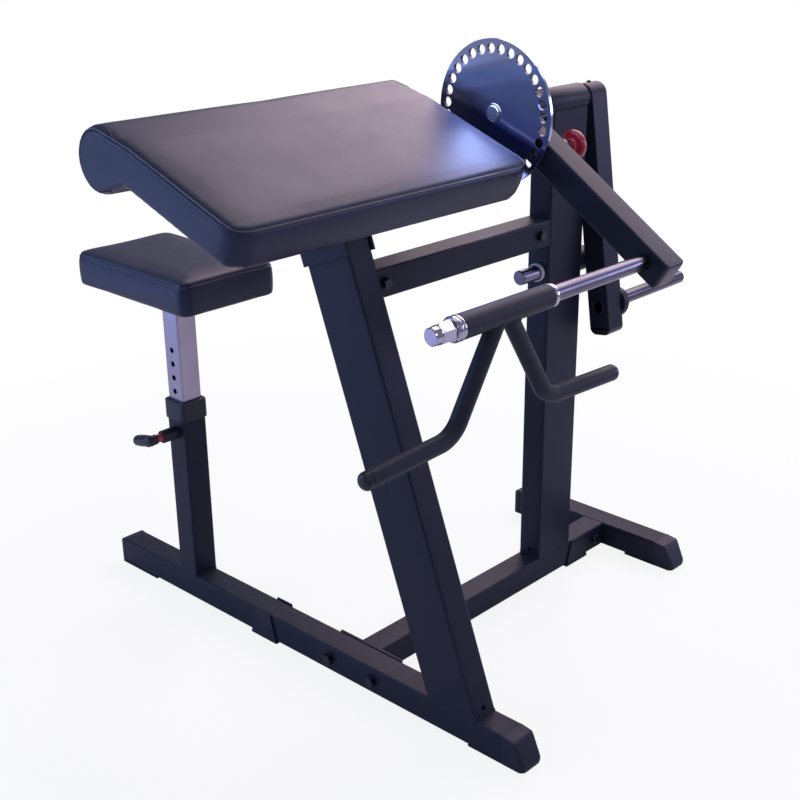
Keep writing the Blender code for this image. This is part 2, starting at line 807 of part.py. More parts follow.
def pad_section():
    """The arm pad's section: a flat top, a crowned front and a thick roll on the user's side."""
    bottom = -PAD_THICKNESS
    corner = PAD_ROUND
    low_corner = 0.75 * PAD_ROUND
    face = PAD_FRONT
    points = arc(face - corner, -corner, corner, 90, 0, 3)
    for i in range(1, 4):
        share = i / 4
        bulge = PAD_CROWN * math.sin(math.pi * share)
        points.append((face + bulge, -corner + share * (bottom + corner + low_corner)))
    points += arc(face - low_corner, bottom + low_corner, low_corner, 0, -90, 2)
    back = -PAD_ROLL_BACK
    middle = -PAD_ROLL_DROP
    neck = back + 1.32 * PAD_ROLL_RADIUS
    points += [(face + (neck - face) * i / 5, bottom) for i in range(1, 6)]
    points += arc(back, middle, PAD_ROLL_RADIUS, -40, -270, 14)
    crest = middle + PAD_ROLL_RADIUS
    rise = -crest
    for i in range(1, 5):
        share = i / 5
        ease = share * share * (3 - 2 * share)
        points.append((back + share * PAD_ROLL_RADIUS, crest + rise * ease))
    start = back + PAD_ROLL_RADIUS
    points += [(start + (face - corner - start) * i / 6, 0.0) for i in range(6)]
    return points


def drawn_in(points, inset):
    """A clockwise outline moved in by the inset along its own normals."""
    moved = []
    for i, (x, y) in enumerate(points):
        ax, ay = points[i - 1]
        bx, by = points[(i + 1) % len(points)]
        size = math.hypot(bx - ax, by - ay)
        moved.append((x + inset * (by - ay) / size, y - inset * (bx - ax) / size))
    return moved


def pad_rings():
    """The arm pad's section at stations across its width, drawn in at its two ends."""
    section = pad_section()
    side = PAD_HALF_WIDTH
    edge = PAD_ROUND
    half = [(side, edge), (side - 0.3 * edge, 0.3 * edge), (side - edge, 0)]
    half += [(side * share, 0) for share in (0.75, 0.5, 0.25, 0)]
    stations = half + [(-y, inset) for y, inset in half[-2::-1]]
    rings = []
    for y, inset in stations:
        crown = PAD_CROWN * (1 - (y / side) ** 2)
        ring = []
        for x, z in drawn_in(section, inset):
            flat = z > -PAD_CROWN and inset == 0
            share = max(0.0, 1 - ((x + 0.1 * PAD_FRONT) / PAD_FRONT) ** 2) if flat else 0.0
            ring.append((x, y, z + crown * share))
        rings.append(ring)
    return rings


def cushion_ring(inset, z):
    """One level of the seat cushion, whose long sides are drawn in between the corners."""
    corner = max(CUSHION_CORNER - inset, 4 * MM)
    half_x = CUSHION_LENGTH / 2 - inset
    half_y = CUSHION_WIDTH / 2 - inset
    corners = [(half_x - corner, half_y - corner), (corner - half_x, half_y - corner)]
    corners += [(corner - half_x, corner - half_y), (half_x - corner, corner - half_y)]
    ring = []
    for i, (x, y) in enumerate(corners):
        turn = arc(x, y, corner, 90 * i, 90 * i + 90, 4)
        ring += turn
        ex, ey = turn[-1]
        nx, ny = corners[(i + 1) % 4]
        step = math.radians(90 * (i + 1))
        nx, ny = nx + corner * math.cos(step), ny + corner * math.sin(step)
        for k in range(1, 5):
            share = k / 5
            draw = CUSHION_DRAW_IN * math.sin(math.pi * share)
            px = ex + (nx - ex) * share - draw * math.cos(step)
            py = ey + (ny - ey) * share - draw * math.sin(step)
            ring.append((px, py))
    return [(x, y, z) for x, y in ring]


def build_seat(root, seat, paint, chrome, plastic, vinyl, wood):
    """The seat's post and bushing, and the tube, plate, board and cushion that slide in it."""
    post = box_tube(
        "seat_post",
        TUBE / 2,
        TUBE / 2,
        SEAT_POST_WALL,
        TUBE_TOP + FIT,
        SEAT_POST_TOP,
        root,
        at(SEAT_X, 0, 0),
        paint,
    )
    outer = TUBE / 2 + FIT + BUSHING_WALL
    top = SEAT_POST_TOP + FIT + BUSHING_RISE
    steps = [
        (0, SEAT_POST_TOP - BUSHING_DROP),
        (0, top - 2 * MM),
        (2 * MM, top),
        (outer - SEAT_HALF - RUN, top),
        (outer - SEAT_HALF - RUN, SEAT_POST_TOP - BUSHING_LINER),
        (BUSHING_WALL + 2 * FIT + SEAT_POST_WALL, SEAT_POST_TOP - BUSHING_LINER),
        (BUSHING_WALL + 2 * FIT + SEAT_POST_WALL, SEAT_POST_TOP + FIT),
        (BUSHING_WALL, SEAT_POST_TOP + FIT),
        (BUSHING_WALL, SEAT_POST_TOP - BUSHING_DROP),
    ]
    rings = [rectangle_ring(outer, outer, TUBE_CORNER + BUSHING_WALL, i, z) for i, z in steps]
    add_piece("seat_post_bushing", rings, root, at(SEAT_X, 0, 0), plastic, loop=True)

    plate_low = CUSHION_BOTTOM - FIT - SEAT_PLATE
    tube = box_tube(
        "seat_tube",
        SEAT_HALF,
        SEAT_HALF,
        SEAT_TUBE_WALL,
        SEAT_TUBE_BOTTOM,
        plate_low - FIT,
        seat,
        Matrix(),
        chrome,
    )
    for k in range(-SEAT_HOLES_BELOW, SEAT_HOLES_ABOVE + 1):
        hole = drill(
            f"seat_tube.hole{k}",
            SEAT_PIN_RADIUS + RUN,
            SEAT_HALF / 2,
            TUBE,
            seat,
            at(0, 0, SEAT_PIN_Z + k * SEAT_PITCH) @ AGAINST_Y,
            SMALL_SIDES,
        )
        cut(tube, hole)
    block(
        "seat_plate",
        SEAT_PLATE_LENGTH / 2,
        SEAT_PLATE_WIDTH / 2,
        TUBE_CORNER,
        [(0, plate_low), (0, CUSHION_BOTTOM - FIT)],
        seat,
        Matrix(),
        paint,
    )
    half_x = CUSHION_LENGTH / 2 - SEAT_BOARD_MARGIN
    half_y = CUSHION_WIDTH / 2 - SEAT_BOARD_MARGIN
    board_top = CUSHION_BOTTOM + SEAT_BOARD_THICKNESS
    corner = CUSHION_CORNER - SEAT_BOARD_MARGIN
    block(
        "seat_board",
        half_x,
        half_y,
        corner,
        [(0, CUSHION_BOTTOM), (0, board_top)],
        seat,
        Matrix(),
        wood,
    )
    levels = [(8, 0), (4, 0.05), (1.5, 0.2), (0, 0.42), (0.5, 0.62), (1.5, 0.74), (5, 0.84)]
    levels += [(12, 0.91), (26, 0.96), (48, 0.99), (80, 1.0)]
    rings = [cushion_ring(i * MM, CUSHION_BOTTOM + share * CUSHION_HEIGHT) for i, share in levels]
    cushion = add_piece("seat_cushion", rings, seat, Matrix(), vinyl)
    recess = block(
        "seat_cushion.recess",
        half_x + FIT,
        half_y + FIT,
        corner,
        [(0, CUSHION_BOTTOM - CUSHION_HEIGHT), (0, board_top + FIT)],
        seat,
        Matrix(),
        None,
    )
    cut(cushion, recess)
    return post


@dataclass
class Plunger:
    """The sizes of a spring plunger, measured outwards from the wall that it screws through."""

    pin: float
    neck: float
    barrel: float
    nose: float
    length: float
    inner: float
    floor: float
    tip: float
    tail: float

    @property
    def chamber(self):
        """The radius that the spring and the pin's collar run in."""
        return bore_radius(self.neck + RUN + SPRING_WIRE / 2, COIL_POINTS) + SPRING_WIRE / 2 + FIT

    @property
    def collar(self):
        """Where the pin's collar ends while the pin is drawn back."""
        return self.floor + FIT + PIN_TRAVEL + PIN_COLLAR


def plunger(size, names, barrel_body, pin_body, place, barrel_finish, steel):
    """The barrel, the pin and the spring of a plunger, with the pin drawn back by its travel."""
    pin_hole = bore_radius(size.pin + RUN, ROUND_SIDES)
    neck_hole = bore_radius(size.neck + RUN, ROUND_SIDES)
    chamber = bore_radius(size.chamber, ROUND_SIDES)
    edge = 1 * MM
    cap = size.length - BARREL_CAP
    steps = [
        (pin_hole, size.inner),
        (size.nose, size.inner),
        (size.nose, FIT),
        (size.barrel - edge, FIT),
        (size.barrel, FIT + edge),
        (size.barrel, size.length - edge),
        (size.barrel - edge, size.length),
        (neck_hole, size.length),
        (neck_hole, cap),
        (chamber, cap),
        (chamber, size.floor),
        (pin_hole, size.floor),
    ]
    turned(names[0], steps, barrel_body, place, barrel_finish, loop=True)
    pin_steps = [
        (size.pin - edge, size.tip),
        (size.pin, size.tip + edge),
        (size.pin, size.collar - PIN_COLLAR),
        (size.chamber - RUN, size.collar - PIN_COLLAR),
        (size.chamber - RUN, size.collar),
        (size.pin, size.collar),
        (size.pin, size.tail),
    ]
    turned(names[1], pin_steps, pin_body, place, steel)
    mean = size.neck + RUN + SPRING_WIRE / 2
    coil(names[2], mean, size.collar + FIT, cap - FIT, pin_body, place, steel)


def build_seat_plunger(root, post, steel, plastic, red):
    """The pull pin that holds the seat at its height, with its red neck and angled knob."""
    place = at(SEAT_X, -TUBE / 2, SEAT_PIN_Z) @ AGAINST_Y
    knob_start = SEAT_BARREL_LENGTH + PIN_TRAVEL + FIT
    knob_end = knob_start + SEAT_KNOB_DEPTH
    size = Plunger(
        pin=SEAT_PIN_RADIUS,
        neck=SEAT_SLEEVE_RADIUS,
        barrel=SEAT_BARREL_RADIUS,
        nose=SEAT_NOSE_RADIUS,
        length=SEAT_BARREL_LENGTH,
        inner=-SEAT_POST_WALL - FIT,
        floor=BARREL_CAP,
        tip=SEAT_HALF + FIT - TUBE / 2,
        tail=knob_end - 4 * MM,
    )
    names = ("seat_pin_barrel", "seat_pin", "seat_pin_spring")
    plunger(size, names, root, root, place, plastic, steel)
    hole = drill("seat_post.hole", size.nose + FIT, -TUBE / 4, TUBE / 4, root, place)
    cut(post, hole)
    plain_ring(
        "seat_pin_sleeve",
        SEAT_SLEEVE_RADIUS,
        SEAT_PIN_RADIUS + FIT,
        size.collar + FIT,
        knob_start - FIT,
        root,
        place,
        red,
        0.5 * MM,
    )
    edge = 1 * MM
    profile = [(SEAT_KNOB_RADIUS - edge, knob_start)]
    profile += rounded_steps(SEAT_KNOB_RADIUS, knob_start + edge, knob_end, 5 * MM)
    hub = turned("seat_pin_knob", profile, root, place, plastic)
    sideways = at(0, 0, (knob_start + knob_end) / 2) @ Matrix.Rotation(math.radians(-90), 4, "Y")
    profile = rounded_steps(SEAT_KNOB_RADIUS - 0.4 * MM, 0, SEAT_KNOB_ARM, 8 * MM)
    arm = turned("seat_pin_knob.arm", profile, root, place @ sideways, None)
    weld(hub, arm)
    radius = SEAT_PIN_RADIUS + FIT
    socket = drill("seat_pin_knob.socket", radius, knob_start - TUBE, size.tail + FIT, root, place)
    cut(hub, socket)


def build_upright(body, paint):
    """The post that carries the pivot, with its saddle, peg holes and stub."""
    upright = box_tube(
        "upright_post",
        POST_NARROW / 2,
        POST_WIDE / 2,
        POST_WALL,
        TUBE_TOP + FIT,
        PIVOT_Z - UPRIGHT_TOP_DROP,
        body,
        at(FRAME_X, UPRIGHT_Y, 0),
        paint,
    )
    inner = stub(
        "upright_post.stub",
        body,
        at(FRAME_X, 0, UPPER_CROSS_Z) @ ALONG_Y,
        UPRIGHT_NEAR - STUB_REACH,
        UPRIGHT_NEAR + POST_WALL / 2,
    )
    weld(upright, inner)
    axis = at(FRAME_X, 0, PIVOT_Z) @ ALONG_Y
    saddle = drill(
        "upright_post.saddle", HOUSING_RADIUS + FIT, UPRIGHT_NEAR - TUBE, UPRIGHT_FAR + TUBE, body, axis
    )
    cut(upright, saddle)
    peg_axis = at(FRAME_X, 0, PEG_Z) @ ALONG_Y
    holes = drill(
        "upright_post.peg", PEG_RADIUS + FIT, UPRIGHT_NEAR - TUBE, UPRIGHT_FAR + TUBE, body, peg_axis
    )
    cut(upright, holes)
    weep = drill(
        "upright_post.weep",
        WEEP_RADIUS,
        UPRIGHT_NEAR - TUBE,
        UPRIGHT_Y,
        body,
        at(FRAME_X, 0, TUBE_TOP + WEEP_RISE) @ ALONG_Y,
        SMALL_SIDES,
    )
    cut(upright, weep)
    return upright


def build_upper_cross(body, post, upright, paint, zinc):
    """The tube between the sloped post and the upright, slid over both stubs."""
    start = POST_NARROW / 2 + FIT
    end = UPRIGHT_NEAR - FIT
    tube = box_tube(
        "upper_cross_tube",
        TUBE / 2,
        TUBE / 2,
        TUBE_WALL,
        start,
        end,
        body,
        at(FRAME_X, 0, UPPER_CROSS_Z) @ ALONG_Y,
        paint,
    )
    frame_bolt("upper_bolt_right", start + UPPER_BOLT_BACK, UPPER_CROSS_Z, body, zinc, tube, post)
    frame_bolt("upper_bolt_left", end - UPPER_BOLT_BACK, UPPER_CROSS_Z, body, zinc, tube, upright)


def build_pivot(body, paint, nylon, chrome, rubber):
    """The housing on the upright, its two flanged bushes, and the stop peg with its bumper."""
    axis = at(FRAME_X, 0, PIVOT_Z) @ ALONG_Y
    inner = HOUSING_RADIUS - HOUSING_WALL
    plain_ring("pivot_housing", HOUSING_RADIUS, inner, HOUSING_NEAR, HOUSING_FAR, body, axis, paint)
    hole = bore_radius(SHAFT_RADIUS + RUN, ROUND_SIDES)
    flange = BUSH_FLANGE_RADIUS
    sleeve = inner - FIT
    for label, outer, sign in (("near", BUSH_NEAR, 1), ("far", BUSH_FAR, -1)):
        seat = outer + sign * BUSH_FLANGE
        inside = seat + sign * BUSH_LENGTH
        steps = [(hole, outer), (flange, outer), (flange, seat), (sleeve, seat)]
        steps += [(sleeve, inside), (hole, inside)]
        turned(f"pivot_bush_{label}", steps, body, axis, nylon, loop=True)

    peg_axis = at(FRAME_X, 0, PEG_Z) @ ALONG_Y
    bumper_start = UPRIGHT_FAR + FIT
    bumper_end = bumper_start + BUMPER_LENGTH
    peg_end = bumper_end - BUMPER_END_WALL - FIT
    turned(
        "stop_peg",
        [(PEG_RADIUS - 2 * MM, PEG_START), (PEG_RADIUS, PEG_START + 2 * MM), (PEG_RADIUS, peg_end)],
        body,
        peg_axis,
        chrome,
    )
    collar_end = UPRIGHT_NEAR - FIT
    plain_ring(
        "stop_peg_collar",
        PEG_COLLAR_RADIUS,
        PEG_RADIUS + FIT,
        collar_end - PEG_COLLAR_LENGTH,
        collar_end,
        body,
        peg_axis,
        nylon,
    )
    edge = 2 * MM
    steps = [
        (BUMPER_RADIUS, bumper_start),
        (BUMPER_RADIUS, bumper_end - edge),
        (BUMPER_RADIUS - edge, bumper_end),
    ]
    bumper = turned("stop_bumper", steps, body, peg_axis, rubber)
    bore = PEG_RADIUS + FIT
    bumper_bore = drill(
        "stop_bumper.bore", bore, UPRIGHT_FAR - TUBE, peg_end + FIT, body, peg_axis
    )
    cut(bumper, bumper_bore)


def build_arm(arm, paint, chrome, steel, black, rubber):
    """The shaft with the selector disc on one end and the weight arm on the other."""
    boss_front = DISC_FRONT - DISC_BOSS
    shaft_start = boss_front - 2 * MM
    shaft_end = ARM_FAR + 1.5 * MM
    edge = 1.5 * MM
    steps = [(SHAFT_RADIUS - edge, shaft_start), (SHAFT_RADIUS, shaft_start + edge)]
    steps += [(SHAFT_RADIUS, shaft_end - edge), (SHAFT_RADIUS - edge, shaft_end)]
    turned("pivot_shaft", steps, arm, ALONG_Y, steel)

    bore = bore_radius(SHAFT_RADIUS + FIT, DISC_SIDES)
    rim = 1 * MM
    profile = [
        (bore, boss_front),
        (DISC_BOSS_RADIUS, boss_front),
        (DISC_BOSS_RADIUS, DISC_FRONT - DISC_RING),
        (DISC_RING_RADIUS, DISC_FRONT - DISC_RING),
        (DISC_RING_RADIUS, DISC_FRONT),
        (DISC_RADIUS - rim, DISC_FRONT),
        (DISC_RADIUS, DISC_FRONT + rim),
        (DISC_RADIUS, DISC_BACK - rim),
        (DISC_RADIUS - rim, DISC_BACK),
        (bore, DISC_BACK),
    ]
    disc = turned("selector_disc", profile, arm, ALONG_Y, chrome, DISC_SIDES, loop=True)
    for k in range(DISC_HOLES):
        turn = LEVER_ANGLE + ARM_TILT + k * DISC_PITCH
        centre = Matrix.Rotation(turn, 4, "Y") @ at(DISC_HOLE_CIRCLE, 0, 0)
        hole = drill(
            f"selector_disc.hole{k}",
            DISC_HOLE_RADIUS,
            DISC_FRONT - DISC_BOSS,
            DISC_BACK + DISC_BOSS,
            arm,
            centre @ ALONG_Y,
            HOLE_SIDES,
        )
        cut(disc, hole)

    half = ARM_SIZE / 2
    reach = ARM_LENGTH - half
    outer = arc(0, 0, half, 180, 0, 8) + arc(0, -reach, half, 0, -180, 8)
    inner = arc(0, 0, half - ARM_WALL, 180, 0, 8)
    inner += arc(0, -reach, half - ARM_WALL, 0, -180, 8)
    far_face = -ARM_Y - ARM_SIZE
    body = slab("weight_arm", outer, far_face, -ARM_Y, arm, PROFILE_FORWARD, paint)
    cavity = slab(
        "weight_arm.cavity",
        inner,
        far_face + ARM_WALL,
        -ARM_Y - ARM_WALL,
        arm,
        PROFILE_FORWARD,
        None,
    )
    cut(body, cavity)
    hub_start = BUSH_FAR + FIT
    hub = turned(
        "weight_arm.hub",
        [(ARM_HUB_RADIUS, hub_start), (ARM_HUB_RADIUS, ARM_FAR - ARM_WALL / 2)],
        arm,
        ALONG_Y,
        None,
    )
    weld(body, hub)
    bore = SHAFT_RADIUS + FIT
    through = drill("weight_arm.bore", bore, hub_start - TUBE, ARM_FAR + TUBE, arm, ALONG_Y)
    cut(body, through)
    post_axis = at(0, 0, -PLATE_POST_DROP) @ ALONG_Y
    socket = drill(
        "weight_arm.socket", PLATE_POST_RADIUS + FIT, ARM_Y - TUBE, ARM_FAR + TUBE, arm, post_axis
    )
    cut(body, socket)

    screws = (((hub_start + ARM_Y) / 2, ARM_HUB_RADIUS), ((ARM_Y + ARM_FAR) / 2, half))
    for number, (y, surface) in enumerate(screws, 1):
        tapped = drill(
            f"weight_arm.tap{number}",
            SET_SCREW_RADIUS + FIT,
            SHAFT_RADIUS / 2,
            2 * half,
            arm,
            at(0, y, 0),
            SMALL_SIDES,
        )
        cut(body, tapped)
        turned(
            f"set_screw_{number}",
            [
                (SET_SCREW_RADIUS, SHAFT_RADIUS + FIT),
                (SET_SCREW_RADIUS, surface + SET_SCREW_RISE - 1 * MM),
                (SET_SCREW_RADIUS - 1 * MM, surface + SET_SCREW_RISE),
            ],
            arm,
            at(0, y, 0),
            black,
            SMALL_SIDES,
        )

    bore = PLATE_POST_RADIUS - PLATE_POST_WALL
    dome = 5 * MM
    post = turned(
        "plate_post",
        rounded_steps(PLATE_POST_RADIUS, ARM_Y, PLATE_POST_END, dome),
        arm,
        post_axis,
        chrome,
    )
    hollow = drill("plate_post.bore", bore, ARM_Y - TUBE, PLATE_POST_END - 2 * dome, arm, post_axis)
    cut(post, hollow)
    plain_ring(
        "plate_stop",
        PLATE_STOP_RADIUS,
        PLATE_POST_RADIUS + FIT,
        ARM_FAR + FIT,
        ARM_FAR + FIT + PLATE_STOP_LENGTH,
        arm,
        post_axis,
        rubber,
        3 * MM,
    )


def build_lever(lever, paint, chrome, steel, black, plastic, red):
    """The lever on the shaft, its selector plunger and the bar that carries the handles."""
    axis = at(0, LEVER_Y, 0) @ ALONG_X
    tube = box_tube(
        "lever_arm",
        TUBE / 2,
        TUBE / 2,
        TUBE_WALL,
        -LEVER_TAIL,
        LEVER_LENGTH,
        lever,
        axis,
        paint,
    )
    hub_start = LEVER_NEAR - HUB_STANDOFF
    hub_end = BUSH_NEAR - FIT
    hub = turned(
        "lever_arm.hub", [(HUB_RADIUS, hub_start), (HUB_RADIUS, hub_end)], lever, ALONG_Y, None
    )
    weld(tube, hub)
    bore = drill("lever_arm.bore", SHAFT_RADIUS + RUN, hub_start - TUBE, hub_end + TUBE, lever, ALONG_Y)
    cut(tube, bore)

    half = TUBE / 2 - TUBE_WALL - FIT
    inset = TUBE / 2 - half
    steps = [
        (inset, LEVER_LENGTH - PLUG_DEPTH / 2),
        (inset, LEVER_LENGTH + FIT),
        (0, LEVER_LENGTH + FIT),
        (0, LEVER_LENGTH + LEVER_CAP - 2 * MM),
        (2 * MM, LEVER_LENGTH + LEVER_CAP),
    ]
    block("lever_end_cap", TUBE / 2, TUBE / 2, TUBE_CORNER, steps, lever, axis, plastic)

    place = at(DISC_HOLE_CIRCLE, LEVER_FAR, 0) @ ALONG_Y
    knob_start = LEVER_BARREL_LENGTH + PIN_TRAVEL + FIT
    knob_end = knob_start + LEVER_KNOB_DEPTH
    size = Plunger(
        pin=LEVER_PIN_RADIUS,
        neck=LEVER_NECK_RADIUS,
        barrel=LEVER_BARREL_RADIUS,
        nose=LEVER_NOSE_RADIUS,
        length=LEVER_BARREL_LENGTH,
        inner=-LEVER_NOSE_DEPTH,
        floor=BARREL_CAP - LEVER_NOSE_DEPTH,
        tip=DISC_BACK + FIT - LEVER_FAR,
        tail=knob_end - 6 * MM,
    )
    names = ("selector_barrel", "selector_pin", "selector_spring")
    plunger(size, names, lever, lever, place, black, steel)
    hole = drill("lever_arm.nose", size.nose + FIT, -TUBE / 2, TUBE / 2, lever, place)
    cut(tube, hole)
    guide = drill("lever_arm.guide", LEVER_PIN_RADIUS + RUN, -2 * TUBE, -TUBE / 2, lever, place)
    cut(tube, guide)
    edge = 6 * MM
    profile = [
        (LEVER_NECK_RADIUS + 3 * MM, knob_start),
        (LEVER_NECK_RADIUS + 4 * MM, knob_start + 5 * MM),
        (LEVER_KNOB_RADIUS - 4 * MM, knob_start + 7 * MM),
        (LEVER_KNOB_RADIUS, knob_start + 11 * MM),
        (LEVER_KNOB_RADIUS - 0.25 * edge, knob_end - edge),
        (LEVER_KNOB_RADIUS - 1.3 * edge, knob_end - 0.3 * edge),
        (LEVER_KNOB_RADIUS - 2.8 * edge, knob_end),
    ]
    knob = turned("selector_knob", profile, lever, place, red)
    radius = LEVER_PIN_RADIUS + FIT
    socket = drill("selector_knob.socket", radius, knob_start - TUBE, size.tail + FIT, lever, place)
    cut(knob, socket)

    bar_axis = at(BAR_REACH, 0, 0) @ ALONG_Y
    bar_hole = drill("lever_arm.bar", BAR_RADIUS + FIT, LEVER_NEAR - TUBE, LEVER_Y, lever, bar_axis)
    cut(tube, bar_hole)
    thread_start = SLEEVE_RIGHT - FIT - WASHER_LENGTH
    turned(
        "handle_bar",
        [
            (BAR_THREAD_RADIUS, BAR_END),
            (BAR_THREAD_RADIUS, thread_start),
            (BAR_RADIUS, thread_start),
            (BAR_RADIUS, LEVER_FAR - TUBE_WALL - FIT),
        ],
        lever,
        bar_axis,
        chrome,
    )
    plain_ring(
        "bar_collar",
        COLLAR_RADIUS,
        BAR_RADIUS + FIT,
        SLEEVE_LEFT + FIT,
        SLEEVE_LEFT + FIT + COLLAR_LENGTH,
        lever,
        bar_axis,
        chrome,
    )
    plain_ring(
        "bar_washer",
        WASHER_RADIUS,
        BAR_RADIUS + FIT,
        thread_start,
        SLEEVE_RIGHT - FIT,
        lever,
        bar_axis,
        chrome,
        2 * MM,
    )
    nut_start = thread_start - FIT
    nut_end = nut_start - NUT_LENGTH
    rings = [
        hexagon_ring(NUT_ACROSS, nut_start),
        hexagon_ring(NUT_ACROSS, nut_end + 2 * MM),
        hexagon_ring(0.9 * NUT_ACROSS, nut_end),
    ]
    nut = add_piece("bar_nut", rings, lever, bar_axis, chrome)
    tapped = drill(
        "bar_nut.bore", BAR_THREAD_RADIUS + FIT, BAR_END - FIT, thread_start + TUBE, lever, bar_axis
    )
    cut(nut, tapped)


def handle_path():
    """The right hand's handle: down and outwards from the sleeve, then round into the grip."""
    slope = math.tan(HANDLE_SPREAD)
    corner = Vector((HANDLE_ROOT + slope * HANDLE_DROP, -HANDLE_DROP))
    down = Vector((math.sin(HANDLE_SPREAD), -math.cos(HANDLE_SPREAD)))
    out = Vector((math.cos(HANDLE_DROOP), -math.sin(HANDLE_DROOP)))
    turn = down.angle(out)
    back = HANDLE_BEND * math.tan(turn / 2)
    start = corner - down * back
    side = Vector((math.cos(HANDLE_SPREAD), math.sin(HANDLE_SPREAD)))
    centre = start + side * HANDLE_BEND
    path = [Vector((HANDLE_ROOT, 0)), start]
    first = math.atan2(start.y - centre.y, start.x - centre.x)
    steps = 8
    for i in range(1, steps + 1):
        angle = first + turn * i / steps
        path.append(centre + HANDLE_BEND * Vector((math.cos(angle), math.sin(angle))))
    length = (HANDLE_SPAN / 2 - GRIP_CAP - path[-1].x) / out.x
    path.append(path[-1] + out * length)
    return path, out


def build_handles(handle, black, rubber):
    """The V of two grips on a sleeve that turns on the bar, with a cap on each grip."""
    sleeve = turned(
        "handle_frame",
        [(SLEEVE_RADIUS, SLEEVE_RIGHT), (SLEEVE_RADIUS, SLEEVE_LEFT)],
        handle,
        ALONG_Y,
        black,
    )
    path, out = handle_path()
    ends = []
    for side, label in ((1, "left"), (-1, "right")):
        points = [(side * point.x, point.y) for point in path]
        arm = swept(f"handle_frame.{label}", points, HANDLE_RADIUS, handle, Matrix(), None)
        weld(sleeve, arm)
        end = Vector((0, side * path[-1].x, path[-1].y))
        along = Vector((0, side * out.x, out.y))
        place = Matrix.Translation(end) @ along.to_track_quat("Z", "X").to_matrix().to_4x4()
        ends.append((label, place))
    bore = drill(
        "handle_frame.bore", BAR_RADIUS + RUN, SLEEVE_RIGHT - TUBE, SLEEVE_LEFT + TUBE, handle, ALONG_Y
    )
    cut(sleeve, bore)
    for label, place in ends:
        spigot = HANDLE_RADIUS * 0.6
        socket = drill(
            f"handle_frame.socket_{label}", spigot + FIT, -GRIP_SPIGOT - FIT, TUBE, handle, place
        )
        cut(sleeve, socket)
        profile = [(spigot, -GRIP_SPIGOT), (spigot, FIT)]
        profile += rounded_steps(HANDLE_RADIUS, FIT, GRIP_CAP, 9 * MM)
        turned(f"grip_end_cap_{label}", profile, handle, place, rubber)


def main():
    """Clears the scene and builds the machine, body by body."""
    clear_scene()
    paint = make_finish("black_powder_coat", (0.012, 0.013, 0.022), 0.38, 0.0)
    vinyl = make_finish("black_vinyl", (0.014, 0.014, 0.018), 0.42, 0.0)
    rubber = make_finish("black_rubber", (0.012, 0.013, 0.024), 0.6, 0.0)
    plastic = make_finish("black_plastic", (0.012, 0.012, 0.016), 0.4, 0.0)
    chrome = make_finish("chrome_plate", (0.78, 0.79, 0.82), 0.1, 1.0)
    steel = make_finish("ground_steel", (0.6, 0.6, 0.62), 0.25, 1.0)
    zinc = make_finish("black_zinc", (0.05, 0.05, 0.06), 0.35, 1.0)
    red = make_finish("red_plastic", (0.45, 0.012, 0.02), 0.35, 0.0)
    nylon = make_finish("pale_nylon", (0.6, 0.58, 0.52), 0.5, 0.0)
    wood = make_finish("plywood", (0.4, 0.28, 0.16), 0.7, 0.0)

    centre_x = (REAR_END + FRONT_END) / 2
    centre_y = (PLATE_POST_END - PAD_HALF_WIDTH) / 2
    root = add_frame("machine", None, at(-centre_x, -centre_y, 0))
    pivot = at(FRAME_X, 0, PIVOT_Z)
    arm = add_frame("arm_frame", root, pivot @ Matrix.Rotation(-ARM_TILT, 4, "Y"))
    lever = add_frame("lever_frame", root, pivot @ Matrix.Rotation(LEVER_ANGLE, 4, "Y"))
    hang = at(BAR_REACH, 0, 0) @ Matrix.Rotation(-LEVER_ANGLE, 4, "Y")
    handle = add_frame("handle_axis", lever, hang)
    seat = add_frame("seat_frame", root, at(SEAT_X, 0, 0))

    cross = build_base(root, paint, rubber, zinc)
    build_stabiliser(root, cross, paint, rubber, zinc)
    post, post_place, reach = build_lean_post(root, paint)
    build_pad(root, post_place, reach, paint, vinyl, wood)
    upright = build_upright(root, paint)
    build_upper_cross(root, post, upright, paint, zinc)
    build_pivot(root, paint, nylon, chrome, rubber)
    seat_post = build_seat(root, seat, paint, chrome, plastic, vinyl, wood)
    build_seat_plunger(root, seat_post, steel, plastic, red)
    build_arm(arm, paint, chrome, steel, zinc, rubber)
    build_lever(lever, paint, chrome, steel, zinc, plastic, red)
    build_handles(handle, paint, plastic)


main()
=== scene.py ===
"""Dresses the biceps triceps machine: its upholstery, turned and bent parts, fasteners and finishes.

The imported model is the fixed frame. Every piece is in metres in that frame and rides on its body.
"""

import json
import logging
import math
from collections.abc import Callable, Sequence
from dataclasses import dataclass, replace
from enum import Enum
from functools import cache
from typing import Any

import bmesh
import bpy
from bmesh.types import BMesh
from bpy.types import Material, Mesh, NodeSocket, NodeTree, Object
from mathutils import Matrix, Vector
from mathutils.bvhtree import BVHTree
from mathutils.kdtree import KDTree

